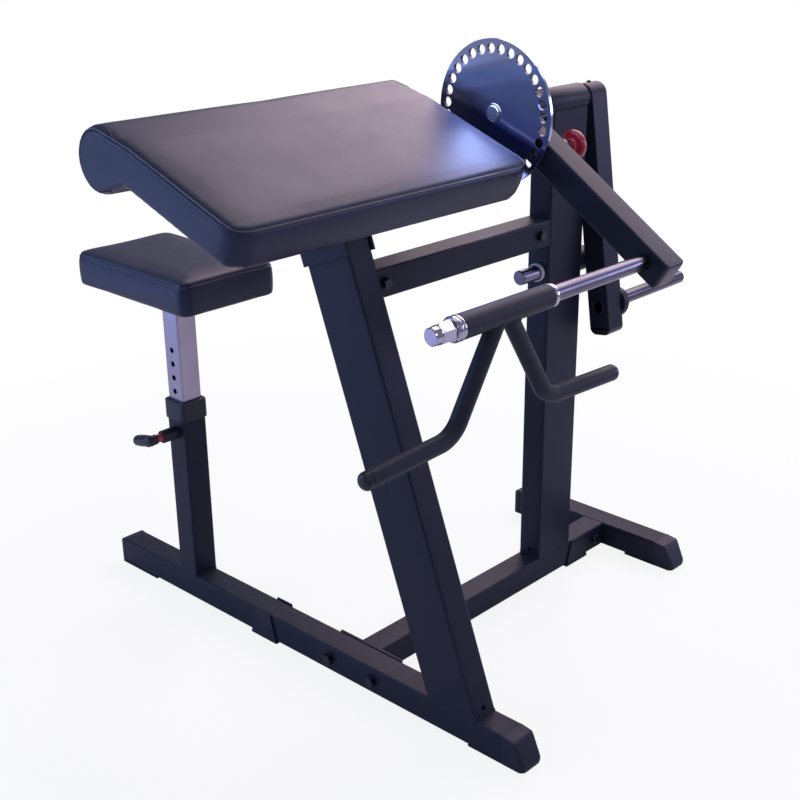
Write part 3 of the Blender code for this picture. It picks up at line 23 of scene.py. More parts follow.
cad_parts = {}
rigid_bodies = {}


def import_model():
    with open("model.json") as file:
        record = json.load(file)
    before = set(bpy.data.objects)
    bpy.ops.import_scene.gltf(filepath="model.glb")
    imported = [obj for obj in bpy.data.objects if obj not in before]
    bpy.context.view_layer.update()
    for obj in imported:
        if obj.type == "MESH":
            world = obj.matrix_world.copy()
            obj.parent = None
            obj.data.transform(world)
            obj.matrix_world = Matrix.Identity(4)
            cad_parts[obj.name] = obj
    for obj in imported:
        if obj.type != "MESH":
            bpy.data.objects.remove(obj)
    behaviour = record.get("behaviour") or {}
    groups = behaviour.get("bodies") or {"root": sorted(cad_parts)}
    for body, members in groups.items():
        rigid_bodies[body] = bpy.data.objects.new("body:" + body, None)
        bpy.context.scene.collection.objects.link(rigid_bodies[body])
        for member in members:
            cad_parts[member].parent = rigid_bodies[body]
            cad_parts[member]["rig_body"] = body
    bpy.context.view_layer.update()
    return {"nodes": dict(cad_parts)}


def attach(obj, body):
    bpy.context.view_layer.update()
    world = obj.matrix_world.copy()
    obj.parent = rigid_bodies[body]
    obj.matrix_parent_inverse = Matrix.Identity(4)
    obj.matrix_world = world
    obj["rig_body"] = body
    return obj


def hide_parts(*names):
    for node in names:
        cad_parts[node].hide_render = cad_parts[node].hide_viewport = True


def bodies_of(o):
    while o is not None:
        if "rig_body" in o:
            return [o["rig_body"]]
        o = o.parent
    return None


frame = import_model()
LOG = logging.getLogger("machine")

MM = 0.001
ROUND = 72
MERGED = 4e-6
COPLANAR = math.radians(0.6)
CENTRE_Y = -0.280
PIVOT_X = 0.1335
SEAT_X = -0.3129
PIVOT_Z = 0.9429
BASE_TOP = 55 * MM
LEVER_ANGLE = math.radians(32.84)
ARM_TILT = math.radians(8.5026)

Profile = list[tuple[float, float]]
Points = list[Vector]


def turn(degrees: float, axis: str) -> Matrix:
    """A turn about an axis, as a 4 x 4 matrix."""
    return Matrix.Rotation(math.radians(degrees), 4, axis)


ALONG_Y = turn(-90, "X")
AGAINST_Y = turn(90, "X")
ALONG_X = turn(90, "Y")
PIVOT = Matrix.Translation((PIVOT_X, CENTRE_Y, PIVOT_Z))
LEVER = PIVOT @ Matrix.Rotation(LEVER_ANGLE, 4, "Y")
ARM = PIVOT @ Matrix.Rotation(-ARM_TILT, 4, "Y")
HANDLE = LEVER @ Matrix.Translation((0.367, 0, 0)) @ Matrix.Rotation(-LEVER_ANGLE, 4, "Y")
PAD = Matrix.Translation((0.1045, CENTRE_Y, 0.9317)) @ turn(20, "Y")


def along(base: Matrix, x: float = 0.0, z: float = 0.0) -> Matrix:
    """An axis across the machine, through a point of a frame given in millimetres."""
    return base @ Matrix.Translation((x * MM, 0, z * MM)) @ ALONG_Y


class Graph:
    """A node tree under construction."""

    def __init__(self, tree: NodeTree) -> None:
        """Args:
        tree: the tree that gets the nodes.
        """
        self.tree = tree

    def feed(self, socket: NodeSocket, value: Any) -> None:
        """Links a socket to another socket, or sets its own value."""
        if isinstance(value, NodeSocket):
            self.tree.links.new(value, socket)
        else:
            socket.default_value = value

    def add(self, kind: str, inputs: dict[Any, Any] | None = None, **settings: Any) -> Any:
        """Adds one node.

        Args:
            kind: the node's type name.
            inputs: what each input takes, by the input's name or number.
            settings: the node's own properties.

        Returns:
            The new node.
        """
        node = self.tree.nodes.new(kind)
        for key, value in settings.items():
            setattr(node, key, value)
        for key, value in (inputs or {}).items():
            self.feed(node.inputs[key], value)
        return node

    def math(self, operation: str, a: Any, b: Any = 0.0) -> NodeSocket:
        """The result of a Math node on two values or sockets."""
        return self.add("ShaderNodeMath", {0: a, 1: b}, operation=operation).outputs[0]

    def span(self, value: Any, low: float, high: float, start: float, end: float) -> Any:
        """A value's range low to high mapped to start to end, clamped."""
        inputs = {0: value, 1: low, 2: high, 3: start, 4: end}
        return self.add("ShaderNodeMapRange", inputs).outputs[0]

    def times(self, a: Any, b: Any) -> NodeSocket:
        """The product of two values or sockets."""
        return self.math("MULTIPLY", a, b)

    def mix(self, share: Any, low: Any, high: Any) -> NodeSocket:
        """Two colours mixed by a share."""
        return self.add("ShaderNodeMix", {0: share, 6: low, 7: high}, data_type="RGBA").outputs[2]

    def noise(self, vector: Any, scale: Any, detail: float, **more: float) -> NodeSocket:
        """The strength of a noise texture, with any further inputs by name."""
        inputs = {"Vector": vector, "Scale": scale, "Detail": detail} | more
        return self.add("ShaderNodeTexNoise", inputs).outputs["Fac"]

    def drum(self, sides: int, radius: Any, depth: Any) -> NodeSocket:
        """A cylinder round the origin."""
        inputs = {"Vertices": sides, "Radius": radius, "Depth": depth}
        return self.add("GeometryNodeMeshCylinder", inputs).outputs["Mesh"]

    def cone(self, top: Any, bottom: Any, depth: Any) -> NodeSocket:
        """A blunt cone of 48 faces."""
        inputs = {"Vertices": 48, "Radius Top": top, "Radius Bottom": bottom, "Depth": depth}
        return self.add("GeometryNodeMeshCone", inputs).outputs["Mesh"]

    def coated(self, shape: Any, finish: Any) -> NodeSocket:
        """A shape with its instances made real and a finish on them."""
        real = self.add("GeometryNodeRealizeInstances", {0: shape}).outputs[0]
        return self.add("GeometryNodeSetMaterial", {0: real, "Material": finish}).outputs[0]


def group(kind: str, name: str, ins: dict[str, tuple[str, Any]], outs: dict[str, str]) -> Any:
    """Makes an empty node group with named sockets.

    Args:
        kind: the tree's type name.
        name: the group's name.
        ins: each input's socket type and default value.
        outs: each output's socket type.

    Returns:
        The group's graph, the sockets that it is given and those that it feeds.
    """
    tree = bpy.data.node_groups.new(name, kind)
    for label, (socket, value) in ins.items():
        made = tree.interface.new_socket(label, in_out="INPUT", socket_type=socket)
        if value is not None:
            made.default_value = value
    for label, socket in outs.items():
        tree.interface.new_socket(label, in_out="OUTPUT", socket_type=socket)
    graph = Graph(tree)
    return graph, graph.add("NodeGroupInput").outputs, graph.add("NodeGroupOutput").inputs


FLOAT = "NodeSocketFloat"
COLOUR = "NodeSocketColor"
VECTOR = "NodeSocketVector"
GEOMETRY = "NodeSocketGeometry"
MATERIAL = "NodeSocketMaterial"
INTEGER = "NodeSocketInt"
DUST = (0.42, 0.4, 0.38, 1)


@cache
def tone_group() -> NodeTree:
    """The shared group for uneven colour and gloss: broad patches, and a dusting on upward faces."""
    ins = {
        "Vector": (VECTOR, None), "Base": (COLOUR, (0.1, 0.1, 0.1, 1)),
        "Tint": (COLOUR, (0.2, 0.2, 0.2, 1)), "Patch Scale": (FLOAT, 9.0), "Patch Share": (FLOAT, 0.5),
        "Roughness": (FLOAT, 0.4), "Spread": (FLOAT, 0.1), "Dust": (FLOAT, 0.1),
    }
    outs = {"Color": COLOUR, "Roughness": FLOAT}
    graph, given, out = group("ShaderNodeTree", "uneven_tone", ins, outs)
    vector = given["Vector"]
    patches = graph.noise(vector, given["Patch Scale"], 5.0)
    mask = graph.times(graph.span(patches, 0.35, 0.7, 0, 1), given["Patch Share"])
    toned = graph.mix(mask, given["Base"], given["Tint"])
    normal = graph.add("ShaderNodeNewGeometry").outputs["Normal"]
    upward = graph.add("ShaderNodeSeparateXYZ", {0: normal}).outputs["Z"]
    specks = graph.span(graph.noise(vector, 55.0, 8.0), 0.45, 0.7, 0.25, 1)
    settled = graph.times(graph.span(upward, 0.55, 1.0, 0, 1), specks)
    dust = graph.times(settled, given["Dust"])
    shift = graph.times(graph.math("SUBTRACT", patches, 0.5), given["Spread"])
    rough = graph.math("ADD", graph.math("ADD", given["Roughness"], shift), dust)
    graph.feed(out["Color"], graph.mix(dust, toned, DUST))
    graph.feed(out["Roughness"], rough)
    return graph.tree


class Grain(Enum):
    """The kinds of surface relief."""

    PEEL = "powder coat peel"
    HIDE = "embossed vinyl grain"
    MOULD = "moulded surface"
    BRUSHED = "lines along the piece"


@cache
def relief_group(grain: Grain) -> NodeTree:
    """The shared group that turns one kind of relief into a normal.

    Args:
        grain: the kind of relief.

    Returns:
        The group, with Vector, Scale and Depth in and Normal out.
    """
    ins = {"Vector": (VECTOR, None), "Scale": (FLOAT, 900.0), "Depth": (FLOAT, 0.1)}
    outs = {"Normal": VECTOR}
    graph, given, out = group("ShaderNodeTree", "relief_" + grain.name.lower(), ins, outs)
    vector, scale = given["Vector"], given["Scale"]
    if grain is Grain.HIDE:
        warp = graph.add("ShaderNodeTexNoise", {"Vector": vector, "Scale": scale, "Detail": 2.0})
        drift = {0: warp.outputs["Color"], "Scale": 0.0012}
        shift = graph.add("ShaderNodeVectorMath", drift, operation="SCALE").outputs[0]
        moved = graph.add("ShaderNodeVectorMath", {0: vector, 1: shift}, operation="ADD").outputs[0]
        inputs = {"Vector": moved, "Scale": scale}
        cells = graph.add("ShaderNodeTexVoronoi", inputs, feature="DISTANCE_TO_EDGE")
        creased = graph.span(cells.outputs["Distance"], 0.0, 0.22, 0, 1)
        height = graph.math("ADD", creased, graph.times(graph.noise(vector, 2600.0, 3.0), 0.35))
    elif grain is Grain.BRUSHED:
        drawn = graph.add("ShaderNodeMapping", {"Vector": vector, "Scale": (1.0, 0.02, 1.0)})
        height = graph.noise(drawn.outputs[0], scale, 4.0, Roughness=0.7)
    else:
        height = graph.noise(vector, scale, 3.0 if grain is Grain.PEEL else 8.0)
    bump = {"Height": height, "Strength": 1.0, "Distance": graph.times(given["Depth"], MM)}
    graph.feed(out["Normal"], graph.add("ShaderNodeBump", bump).outputs["Normal"])
    return graph.tree


@cache
def scuff_group() -> NodeTree:
    """The shared group for fine rub marks: a mask of thin, broken lines in two directions."""
    ins = {"Vector": (VECTOR, None), "Scale": (FLOAT, 40.0), "Amount": (FLOAT, 0.2)}
    graph, given, out = group("ShaderNodeTree", "rub_marks", ins, {"Mask": FLOAT})
    masks = []
    for seed, stretch in enumerate(((1.0, 0.04, 0.3), (0.3, 0.5, 0.03))):
        inputs = {
            "Vector": given["Vector"], "Location": (seed * 3.1, 0.0, 1.7),
            "Rotation": (0.2, 0.5 + seed, 0.3), "Scale": stretch,
        }
        shaped = graph.add("ShaderNodeMapping", inputs).outputs[0]
        masks.append(graph.span(graph.noise(shaped, given["Scale"], 6.0), 0.66, 0.72, 0, 1))
    graph.feed(out["Mask"], graph.times(graph.math("MAXIMUM", *masks), given["Amount"]))
    return graph.tree


@dataclass(frozen=True)
class Finish:
    """One finish: its slot in the record, its colours, its gloss and its relief."""

    name: str
    slot: str
    base: tuple[float, float, float]
    tint: tuple[float, float, float]
    rough: float
    spread: float = 0.1
    metal: float = 0.0
    specular: float = 0.5
    coat: float = 0.0
    grain: Grain = Grain.PEEL
    scale: float = 900.0
    depth: float = 0.1
    patch: float = 9.0
    share: float = 0.5
    dust: float = 0.0
    scuffs: float = 0.0
    worn: tuple[float, float, float] = (0.1, 0.1, 0.1)

    def material(self) -> Material:
        """The finish's material, made on its first use."""
        return bpy.data.materials.get(self.name) or self.make()

    def make(self) -> Material:
        """Builds the material's nodes.

        Returns:
            The new material.
        """
        material = bpy.data.materials.new(self.name)
        material.use_nodes = True
        material.diffuse_color = (*self.base, 1)
        graph = Graph(material.node_tree)
        vector = graph.add("ShaderNodeTexCoord").outputs["Object"]
        inputs = {
            "Vector": vector, "Base": (*self.base, 1), "Tint": (*self.tint, 1), "Patch Scale": self.patch,
            "Patch Share": self.share, "Roughness": self.rough, "Spread": self.spread, "Dust": self.dust,
        }
        tone = graph.add("ShaderNodeGroup", inputs, node_tree=tone_group()).outputs
        colour, rough = tone["Color"], tone["Roughness"]
        if self.scuffs:
            inputs = {"Vector": vector, "Amount": self.scuffs}
            mask = graph.add("ShaderNodeGroup", inputs, node_tree=scuff_group()).outputs["Mask"]
            colour = graph.mix(mask, colour, (*self.worn, 1))
            rough = graph.math("ADD", rough, graph.times(mask, 0.25))
        inputs = {"Vector": vector, "Scale": self.scale, "Depth": self.depth}
        relief = graph.add("ShaderNodeGroup", inputs, node_tree=relief_group(self.grain))
        values = {
            "Base Color": colour, "Roughness": rough, "Metallic": self.metal,
            "Specular IOR Level": self.specular, "Coat Weight": self.coat, "Coat Roughness": 0.2,
            "Normal": relief.outputs["Normal"],
        }
        shader = material.node_tree.nodes["Principled BSDF"]
        for key, value in values.items():
            graph.feed(shader.inputs[key], value)
        return material


PAINT = Finish(
    "satin_powder_coat", "frame_paint", base=(0.0095, 0.012, 0.024), tint=(0.014, 0.016, 0.031),
    rough=0.42, spread=0.14, specular=0.16, scale=1100.0, depth=0.09, patch=4.0, dust=0.03, scuffs=0.12,
    worn=(0.05, 0.05, 0.06),
)
GRIP_PAINT = Finish(
    "textured_grip_coat", "frame_paint", base=(0.009, 0.011, 0.02), tint=(0.014, 0.016, 0.028), rough=0.5,
    spread=0.12, specular=0.22, scale=1500.0, depth=0.22, patch=12.0, scuffs=0.1,
    worn=(0.045, 0.045, 0.055),
)
VINYL = Finish(
    "upholstery_vinyl", "pad_vinyl", base=(0.0048, 0.0078, 0.031), tint=(0.0085, 0.0115, 0.037),
    rough=0.41, spread=0.14, specular=0.36, grain=Grain.HIDE, scale=620.0, depth=0.05, patch=7.0,
    dust=0.05,
)
WELT = Finish(
    "seam_welt_vinyl", "pad_vinyl", base=(0.02, 0.02, 0.034), tint=(0.035, 0.034, 0.05), rough=0.3,
    specular=0.6, grain=Grain.MOULD, scale=1800.0, depth=0.05, patch=40.0,
)
RUBBER = Finish(
    "moulded_rubber", "foot_rubber", base=(0.008, 0.009, 0.022), tint=(0.014, 0.016, 0.034), rough=0.46,
    spread=0.16, specular=0.25, grain=Grain.MOULD, scale=700.0, depth=0.08, patch=14.0, dust=0.05,
)
PLASTIC = Finish(
    "moulded_black_plastic", "black_plastic", base=(0.010, 0.011, 0.02), tint=(0.018, 0.018, 0.03),
    rough=0.34, specular=0.3, grain=Grain.MOULD, scale=1200.0, depth=0.05, patch=18.0,
)
CHROME = Finish(
    "polished_chrome", "chrome_plate", base=(0.44, 0.42, 0.51), tint=(0.33, 0.32, 0.41), rough=0.11,
    spread=0.12, metal=1.0, grain=Grain.MOULD, scale=90.0, depth=0.06, patch=11.0, scuffs=0.35,
    worn=(0.42, 0.43, 0.5),
)
SATIN_CHROME = Finish(
    "satin_chrome_tube", "chrome_plate", base=(0.34, 0.31, 0.37), tint=(0.27, 0.25, 0.32), rough=0.24,
    spread=0.16, metal=1.0, grain=Grain.MOULD, scale=160.0, depth=0.05, patch=13.0, scuffs=0.5,
    worn=(0.3, 0.29, 0.36),
)
# Chrome with its base colour darkened well below its own brightness: a painted dark reflection of dim
# surroundings, worn by the handle bar and the stop peg.
SHADED_CHROME = Finish(
    "chrome_painted_dark_reflection", "chrome_plate", base=(0.135, 0.13, 0.16), tint=(0.09, 0.088, 0.115), rough=0.3,
    spread=0.2, metal=1.0, grain=Grain.BRUSHED, scale=1300.0, depth=0.02, patch=12.0, scuffs=0.6,
    worn=(0.3, 0.29, 0.36),
)
# A still darker copy of that chrome for the plate post: a painted dark reflection of dim surroundings.
SHADED_POST_CHROME = replace(
    SHADED_CHROME, name="chrome_post_painted_dark_reflection", base=(0.062, 0.06, 0.076), tint=(0.04, 0.039, 0.052)
)
# A near-black copy for the walls of the disc's holes and bore: painted shade inside the holes.
SHADED_HOLE_WALL = replace(
    SHADED_CHROME, name="hole_wall_painted_shade", base=(0.05, 0.05, 0.07), tint=(0.03, 0.03, 0.045)
)
DISC_CHROME = Finish(
    "disc_chrome", "chrome_plate", base=(0.4, 0.42, 0.56), tint=(0.32, 0.34, 0.48), rough=0.13,
    spread=0.14, metal=1.0, grain=Grain.MOULD, scale=120.0, depth=0.04, patch=10.0, scuffs=0.3,
    worn=(0.34, 0.35, 0.44),
)
STEEL = Finish(
    "bright_ground_bar", "ground_steel", base=(0.52, 0.53, 0.58), tint=(0.4, 0.41, 0.46), rough=0.26,
    metal=1.0, grain=Grain.BRUSHED, scale=1500.0, depth=0.03, patch=20.0,
)
ZINC = Finish(
    "black_zinc_plating", "black_zinc", base=(0.026, 0.027, 0.038), tint=(0.05, 0.05, 0.065), rough=0.22,
    metal=0.8, grain=Grain.MOULD, scale=600.0, depth=0.05, patch=60.0,
)
RED = Finish(
    "gloss_red_plastic", "red_plastic", base=(0.42, 0.016, 0.045), tint=(0.3, 0.01, 0.032), rough=0.28,
    coat=0.35, grain=Grain.MOULD, scale=500.0, depth=0.04, patch=30.0,
)
NYLON = Finish(
    "moulded_nylon", "pale_nylon", base=(0.5, 0.47, 0.56), tint=(0.4, 0.38, 0.46), rough=0.42,
    grain=Grain.MOULD, scale=900.0, depth=0.05, patch=25.0,
)
PLYWOOD = Finish(
    "birch_plywood", "plywood", base=(0.42, 0.29, 0.16), tint=(0.27, 0.17, 0.085), rough=0.62,
    grain=Grain.BRUSHED, scale=420.0, depth=0.25, patch=16.0, share=0.9,
)


def placed(name: str, data: Any) -> Object:
    """A new object in the scene."""
    made = bpy.data.objects.new(name, data)
    bpy.context.scene.collection.objects.link(made)
    return made


def shaded(mesh: Mesh, sharp: float) -> None:
    """Shades a mesh smooth and keeps the edges past an angle in degrees crisp."""
    mesh.shade_smooth()
    mesh.set_sharp_from_angle(angle=math.radians(sharp))


def piece_from(name: str, shape: BMesh, finish: Finish, sharp: float = 38) -> Any:
    """Turns a bmesh into a shaded object at the origin, with its faces turned outwards.

    Args:
        name: the new object's name.
        shape: the bmesh, which is freed.
        finish: the finish that it wears.
        sharp: the angle in degrees past which an edge stays crisp.

    Returns:
        The new object.
    """
    bmesh.ops.remove_doubles(shape, verts=shape.verts, dist=1e-6)
    bmesh.ops.recalc_face_normals(shape, faces=shape.faces)
    mesh = bpy.data.meshes.new(name)
    shape.to_mesh(mesh)
    shape.free()
    shaded(mesh, sharp)
    mesh.materials.append(finish.material())
    return placed(name, mesh)


def baked(thing: Object) -> Object:
    """Writes an object's modifiers into a plain mesh of its own."""
    graph = bpy.context.evaluated_depsgraph_get()
    mesh = bpy.data.meshes.new_from_object(
        thing.evaluated_get(graph), preserve_all_data_layers=True, depsgraph=graph
    )
    thing.modifiers.clear()
    old = thing.data
    thing.data = mesh
    bpy.data.meshes.remove(old)
    mesh.name = thing.name
    return thing


def even_normals(thing: Object) -> Object:
    """Weights the normals by face area, so flats stay flat beside rounded edges."""
    weighted = thing.modifiers.new("even_normals", "WEIGHTED_NORMAL")
    weighted.keep_sharp = True
    return baked(thing)


def bevelled(thing: Object, width: float, angle: float, steps: int) -> None:
    """Rounds the edges past an angle in degrees, by a width in metres."""
    bevel = thing.modifiers.new("broken_edges", "BEVEL")
    bevel.limit_method = "ANGLE"
    bevel.angle_limit = math.radians(angle)
    bevel.width = width
    bevel.segments = steps
    baked(thing)


def crisp(thing: Object, width: float, angle: float = 40) -> Object:
    """Rounds the sharp edges of a finished mesh and evens its normals."""
    bevelled(thing, width, angle, 2)
    shaded(thing.data, angle + 8)
    return even_normals(thing)


def combined(thing: Any, tool: Any, operation: str) -> Object:
    """Joins a tool to a piece or cuts it away, and removes the tool."""
    step = thing.modifiers.new(operation.lower(), "BOOLEAN")
    step.operation = operation
    step.solver = "EXACT"
    step.object = tool
    baked(thing)
    bpy.data.objects.remove(tool)
    return thing


def eased(points: Profile, radius: float, steps: int = 3, closed: bool = False) -> Profile:
    """Rounds the corners of an outline.

    Args:
        points: the outline's corners.
        radius: how far from each corner the rounding starts.
        steps: the number of faces in each rounding.
        closed: whether the last point joins the first.

    Returns:
        The outline with its corners rounded.
    """
    made: Profile = []
    count = len(points)
    for i, here in enumerate(points):
        if not closed and i in (0, count - 1):
            made.append(here)
            continue
        corner = Vector(here)
        before = Vector(points[i - 1]) - corner
        after = Vector(points[(i + 1) % count]) - corner
        reach = min(radius, 0.45 * before.length, 0.45 * after.length)
        start = corner + before.normalized() * reach
        end = corner + after.normalized() * reach
        for k in range(steps + 1):
            t = k / steps
            point = start * (1 - t) ** 2 + corner * 2 * t * (1 - t) + end * t**2
            made.append((point.x, point.y))
    return made


def skin(rings: Sequence[Sequence[Vector]], loop: bool = False) -> BMesh:
    """A closed skin over rings of equal count, capped at its ends or joined round to itself."""
    shape = bmesh.new()
    rows = [[shape.verts.new(point) for point in ring] for ring in rings]
    pairs = list(zip(rows, rows[1:]))
    if loop:
        pairs.append((rows[-1], rows[0]))
    else:
        shape.faces.new(rows[0])
        shape.faces.new(rows[-1])
    for low, high in pairs:
        for i in range(len(low)):
            j = (i + 1) % len(low)
            shape.faces.new((low[i], low[j], high[j], high[i]))
    return shape


def circle(radius: float, z: float, sides: int) -> Points:
    """A circle of points at one height."""
    angles = [math.tau * i / sides for i in range(sides)]
    return [Vector((radius * math.cos(a), radius * math.sin(a), z)) for a in angles]


def arc(x: float, y: float, radius: float, first: float, last: float, steps: int) -> Profile:
    """Points on a circle, from one angle in degrees to another."""
    angles = [math.radians(first + (last - first) * i / steps) for i in range(steps + 1)]
    return [(x + radius * math.cos(a), y + radius * math.sin(a)) for a in angles]


def rectangle(half_x: float, half_y: float) -> Profile:
    """The corners of a rectangle round the origin."""
    return [(half_x, half_y), (-half_x, half_y), (-half_x, -half_y), (half_x, -half_y)]


def turned(name: str, profile: Profile, place: Matrix, finish: Finish, loop: bool = False) -> Any:
    """A piece turned about its own axis.

    Args:
        name: the new object's name.
        profile: radius and height in millimetres, up the piece.
        place: where the axis lies.
        finish: the finish that it wears.
        loop: whether the profile closes on itself and leaves a bore.

    Returns:
        The new object.
    """
    rings = [circle(max(r, 1e-4) * MM, z * MM, ROUND) for r, z in profile]
    shape = skin([[place @ p for p in ring] for ring in rings], loop)
    return piece_from(name, shape, finish)


def ring_profile(outer: float, inner: float, low: float, high: float, edge: float) -> Profile:
    """The closed profile of a plain ring with its edges rounded, in millimetres."""
    corners = [(inner, low), (outer, low), (outer, high), (inner, high)]
    return eased(corners, edge, closed=True)


def bent(path: Points, radii: Sequence[float], place: Matrix, sides: int = 32) -> BMesh:
    """A round bar along a path.

    Args:
        path: the points of its centre line.
        radii: its radius at each point.
        place: where the path lies.
        sides: the number of faces round it.

    Returns:
        The closed skin.
    """
    tangents = []
    for i in range(len(path)):
        ahead = path[min(i + 1, len(path) - 1)] - path[max(i - 1, 0)]
        tangents.append(ahead.normalized())
    side = tangents[0].orthogonal().normalized()
    rings = []
    for i, (point, tangent) in enumerate(zip(path, tangents)):
        if i:
            side = tangents[i - 1].rotation_difference(tangent) @ side
        side = (side - tangent * side.dot(tangent)).normalized()
        other = tangent.cross(side)
        ring = []
        for k in range(sides):
            a = math.tau * k / sides
            offset = side * math.cos(a) + other * math.sin(a)
            ring.append(place @ (point + offset * radii[i]))
        rings.append(ring)
    return skin(rings)


def body_of(node: str) -> str:
    """The body that a CAD node rides on."""
    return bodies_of(frame["nodes"][node])[0]


def mount(piece: Any, finish: Finish, body: str, *nodes: str) -> Object:
    """Puts a finished piece on its body, and hides the nodes that it stands for."""
    if nodes:
        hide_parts(*nodes)
    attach(piece, body)
    LOG.info("%s: %d faces, on %s", piece.name, len(piece.data.polygons), body)
    return piece


def stand_for(piece: Any, finish: Finish, *nodes: str) -> Object:
    """Mounts a piece on the body of the nodes that it stands for."""
    return mount(piece, finish, body_of(nodes[0]), *nodes)


def lathe(
    node: str, word: str, profile: Profile, place: Matrix, finish: Finish, loop: bool = False
) -> None:
    """Turns a piece and mounts it in place of a CAD node.

    Args:
        node: the CAD node.
        word: what the piece's name adds to the node's name.
        profile: radius and height in millimetres, up the piece.
        place: where the axis lies.
        finish: the finish that it wears.
        loop: whether the profile closes on itself and leaves a bore.
    """
    stand_for(turned(f"{node}_{word}", profile, place, finish, loop), finish, node)


def refined(node: str, finish: Finish, edge: float, steps: int = 2) -> Object:
    """A copy of a CAD node with its triangles merged and its edges rounded.

    Args:
        node: the CAD node.
        finish: the finish that it wears.
        edge: the width of the rounding in millimetres.
        steps: the number of faces across the rounding.

    Returns:
        The mounted piece.
    """
    shape = bmesh.new()
    shape.from_mesh(frame["nodes"][node].data)
    bmesh.ops.remove_doubles(shape, verts=shape.verts, dist=MERGED)
    bmesh.ops.dissolve_limit(shape, angle_limit=COPLANAR, verts=shape.verts, edges=shape.edges)
    piece = piece_from(node + "_finished", shape, finish, 48)
    if edge:
        bevelled(piece, edge * MM, 50, steps)
        piece.data.set_sharp_from_angle(angle=math.radians(50))
    return stand_for(even_normals(piece), finish, node)


def grown(name: str, source: Any, tree: NodeTree, values: dict[str, Any]) -> Any:
    """Runs a Geometry Nodes tree on a source mesh and keeps the result as a plain mesh.

    Args:
        name: the new object's name.
        source: the mesh that the tree reads.
        tree: the tree.
        values: the tree's inputs by name.

    Returns:
        The new object.
    """
    made = placed(name, source)
    nodes = made.modifiers.new(tree.name, "NODES")
    nodes.node_group = tree
    sockets = {item.name: item.identifier for item in tree.interface.items_tree}
    for key, value in values.items():
        nodes[sockets[key]] = value
    return baked(made)


def wire(paths: Sequence[tuple[Sequence[Vector], bool]]) -> Mesh:
    """A mesh of plain edges along paths, each with whether it closes."""
    mesh = bpy.data.meshes.new("paths")
    points: Points = []
    edges: list[tuple[int, int]] = []
    for path, closed in paths:
        first = len(points)
        points += list(path)
        edges += [(i, i + 1) for i in range(first, len(points) - 1)]
        if closed:
            edges.append((len(points) - 1, first))
    mesh.from_pydata([tuple(p) for p in points], edges, [])
    return mesh


@cache
def bead_tree() -> NodeTree:
    """Geometry Nodes for a weld bead: a rippled round bar along each path."""
    ins = {
        "Paths": (GEOMETRY, None), "Radius": (FLOAT, 2 * MM), "Pitch": (FLOAT, 3 * MM),
        "Ripple": (FLOAT, 0.12), "Seed": (FLOAT, 4.0), "Finish": (MATERIAL, None),
    }
    graph, given, out = group("GeometryNodeTree", "weld_bead", ins, {"Geometry": GEOMETRY})
    pitch = given["Pitch"]
    curve = graph.add("GeometryNodeMeshToCurve", {"Mesh": given["Paths"]}).outputs[0]
    inputs = {"Curve": curve, "Length": graph.times(pitch, 0.25)}
    even = graph.add("GeometryNodeResampleCurve", inputs, mode="LENGTH").outputs[0]
    travelled = graph.add("GeometryNodeSplineParameter").outputs["Length"]
    phase = graph.times(graph.math("DIVIDE", travelled, pitch), math.tau)
    wave = graph.times(graph.math("SINE", phase), given["Ripple"])
    place = graph.add("GeometryNodeInputPosition").outputs[0]
    inputs = {"Vector": place, "W": given["Seed"], "Scale": 260.0}
    noise = graph.add("ShaderNodeTexNoise", inputs, noise_dimensions="4D").outputs[0]
    size = graph.times(graph.math("ADD", wave, 1.0), graph.span(noise, 0.3, 0.7, 0.85, 1.15))
    inputs = {"Resolution": 8, "Radius": given["Radius"]}
    rod = graph.add("GeometryNodeCurvePrimitiveCircle", inputs).outputs[0]
    inputs = {"Curve": even, "Profile Curve": rod, "Scale": size, "Fill Caps": True}
    bead = graph.add("GeometryNodeCurveToMesh", inputs).outputs[0]
    smooth = graph.add("GeometryNodeSetShadeSmooth", {0: bead}).outputs[0]
    graph.feed(out[0], graph.coated(smooth, given["Finish"]))
    return graph.tree


@cache
def screw_tree() -> NodeTree:
    """Geometry Nodes for a hexagon screw on a washer, one at each point of the source mesh."""
    ins = {
        "Points": (GEOMETRY, None), "Across Flats": (FLOAT, 17 * MM), "Head": (FLOAT, 7 * MM),
        "Washer Radius": (FLOAT, 10 * MM), "Washer": (FLOAT, 2 * MM), "Shank Radius": (FLOAT, 5 * MM),
        "Shank": (FLOAT, 14 * MM), "Rotation": (VECTOR, (0.0, 0.0, 0.0)), "Finish": (MATERIAL, None),
    }
    graph, given, out = group("GeometryNodeTree", "washer_head_screw", ins, {"Geometry": GEOMETRY})
    head, flat, across = given["Head"], given["Washer"], given["Across Flats"]
    rim, length = given["Washer Radius"], given["Shank"]

    def raised(shape: Any, height: Any) -> Any:
        """The shape moved up its axis."""
        lift = graph.add("ShaderNodeCombineXYZ", {"Z": height}).outputs[0]
        inputs = {"Geometry": shape, "Translation": lift}
        return graph.add("GeometryNodeTransform", inputs).outputs[0]

    hexagon = graph.drum(6, graph.times(across, 1 / math.sqrt(3)), head)
    point = graph.cone(graph.times(across, 0.47), graph.times(across, 0.72), head)
    chamfered = graph.add("GeometryNodeMeshBoolean", operation="INTERSECT", solver="EXACT")
    for shape in (hexagon, raised(point, graph.times(head, -0.5))):
        graph.feed(chamfered.inputs["Mesh 2"], shape)
    middle = graph.math("ADD", graph.times(head, 0.5), flat)
    screw = graph.add("GeometryNodeJoinGeometry")
    graph.feed(screw.inputs[0], raised(chamfered.outputs["Mesh"], middle))
    graph.feed(screw.inputs[0], graph.cone(graph.math("SUBTRACT", rim, 0.4 * MM), rim, flat))
    shank = graph.drum(32, given["Shank Radius"], length)
    graph.feed(screw.inputs[0], raised(shank, graph.times(length, -0.5)))
    inputs = {"Points": given["Points"], "Instance": screw.outputs[0], "Rotation": given["Rotation"]}
    many = graph.add("GeometryNodeInstanceOnPoints", inputs).outputs[0]
    graph.feed(out[0], graph.coated(many, given["Finish"]))
    return graph.tree


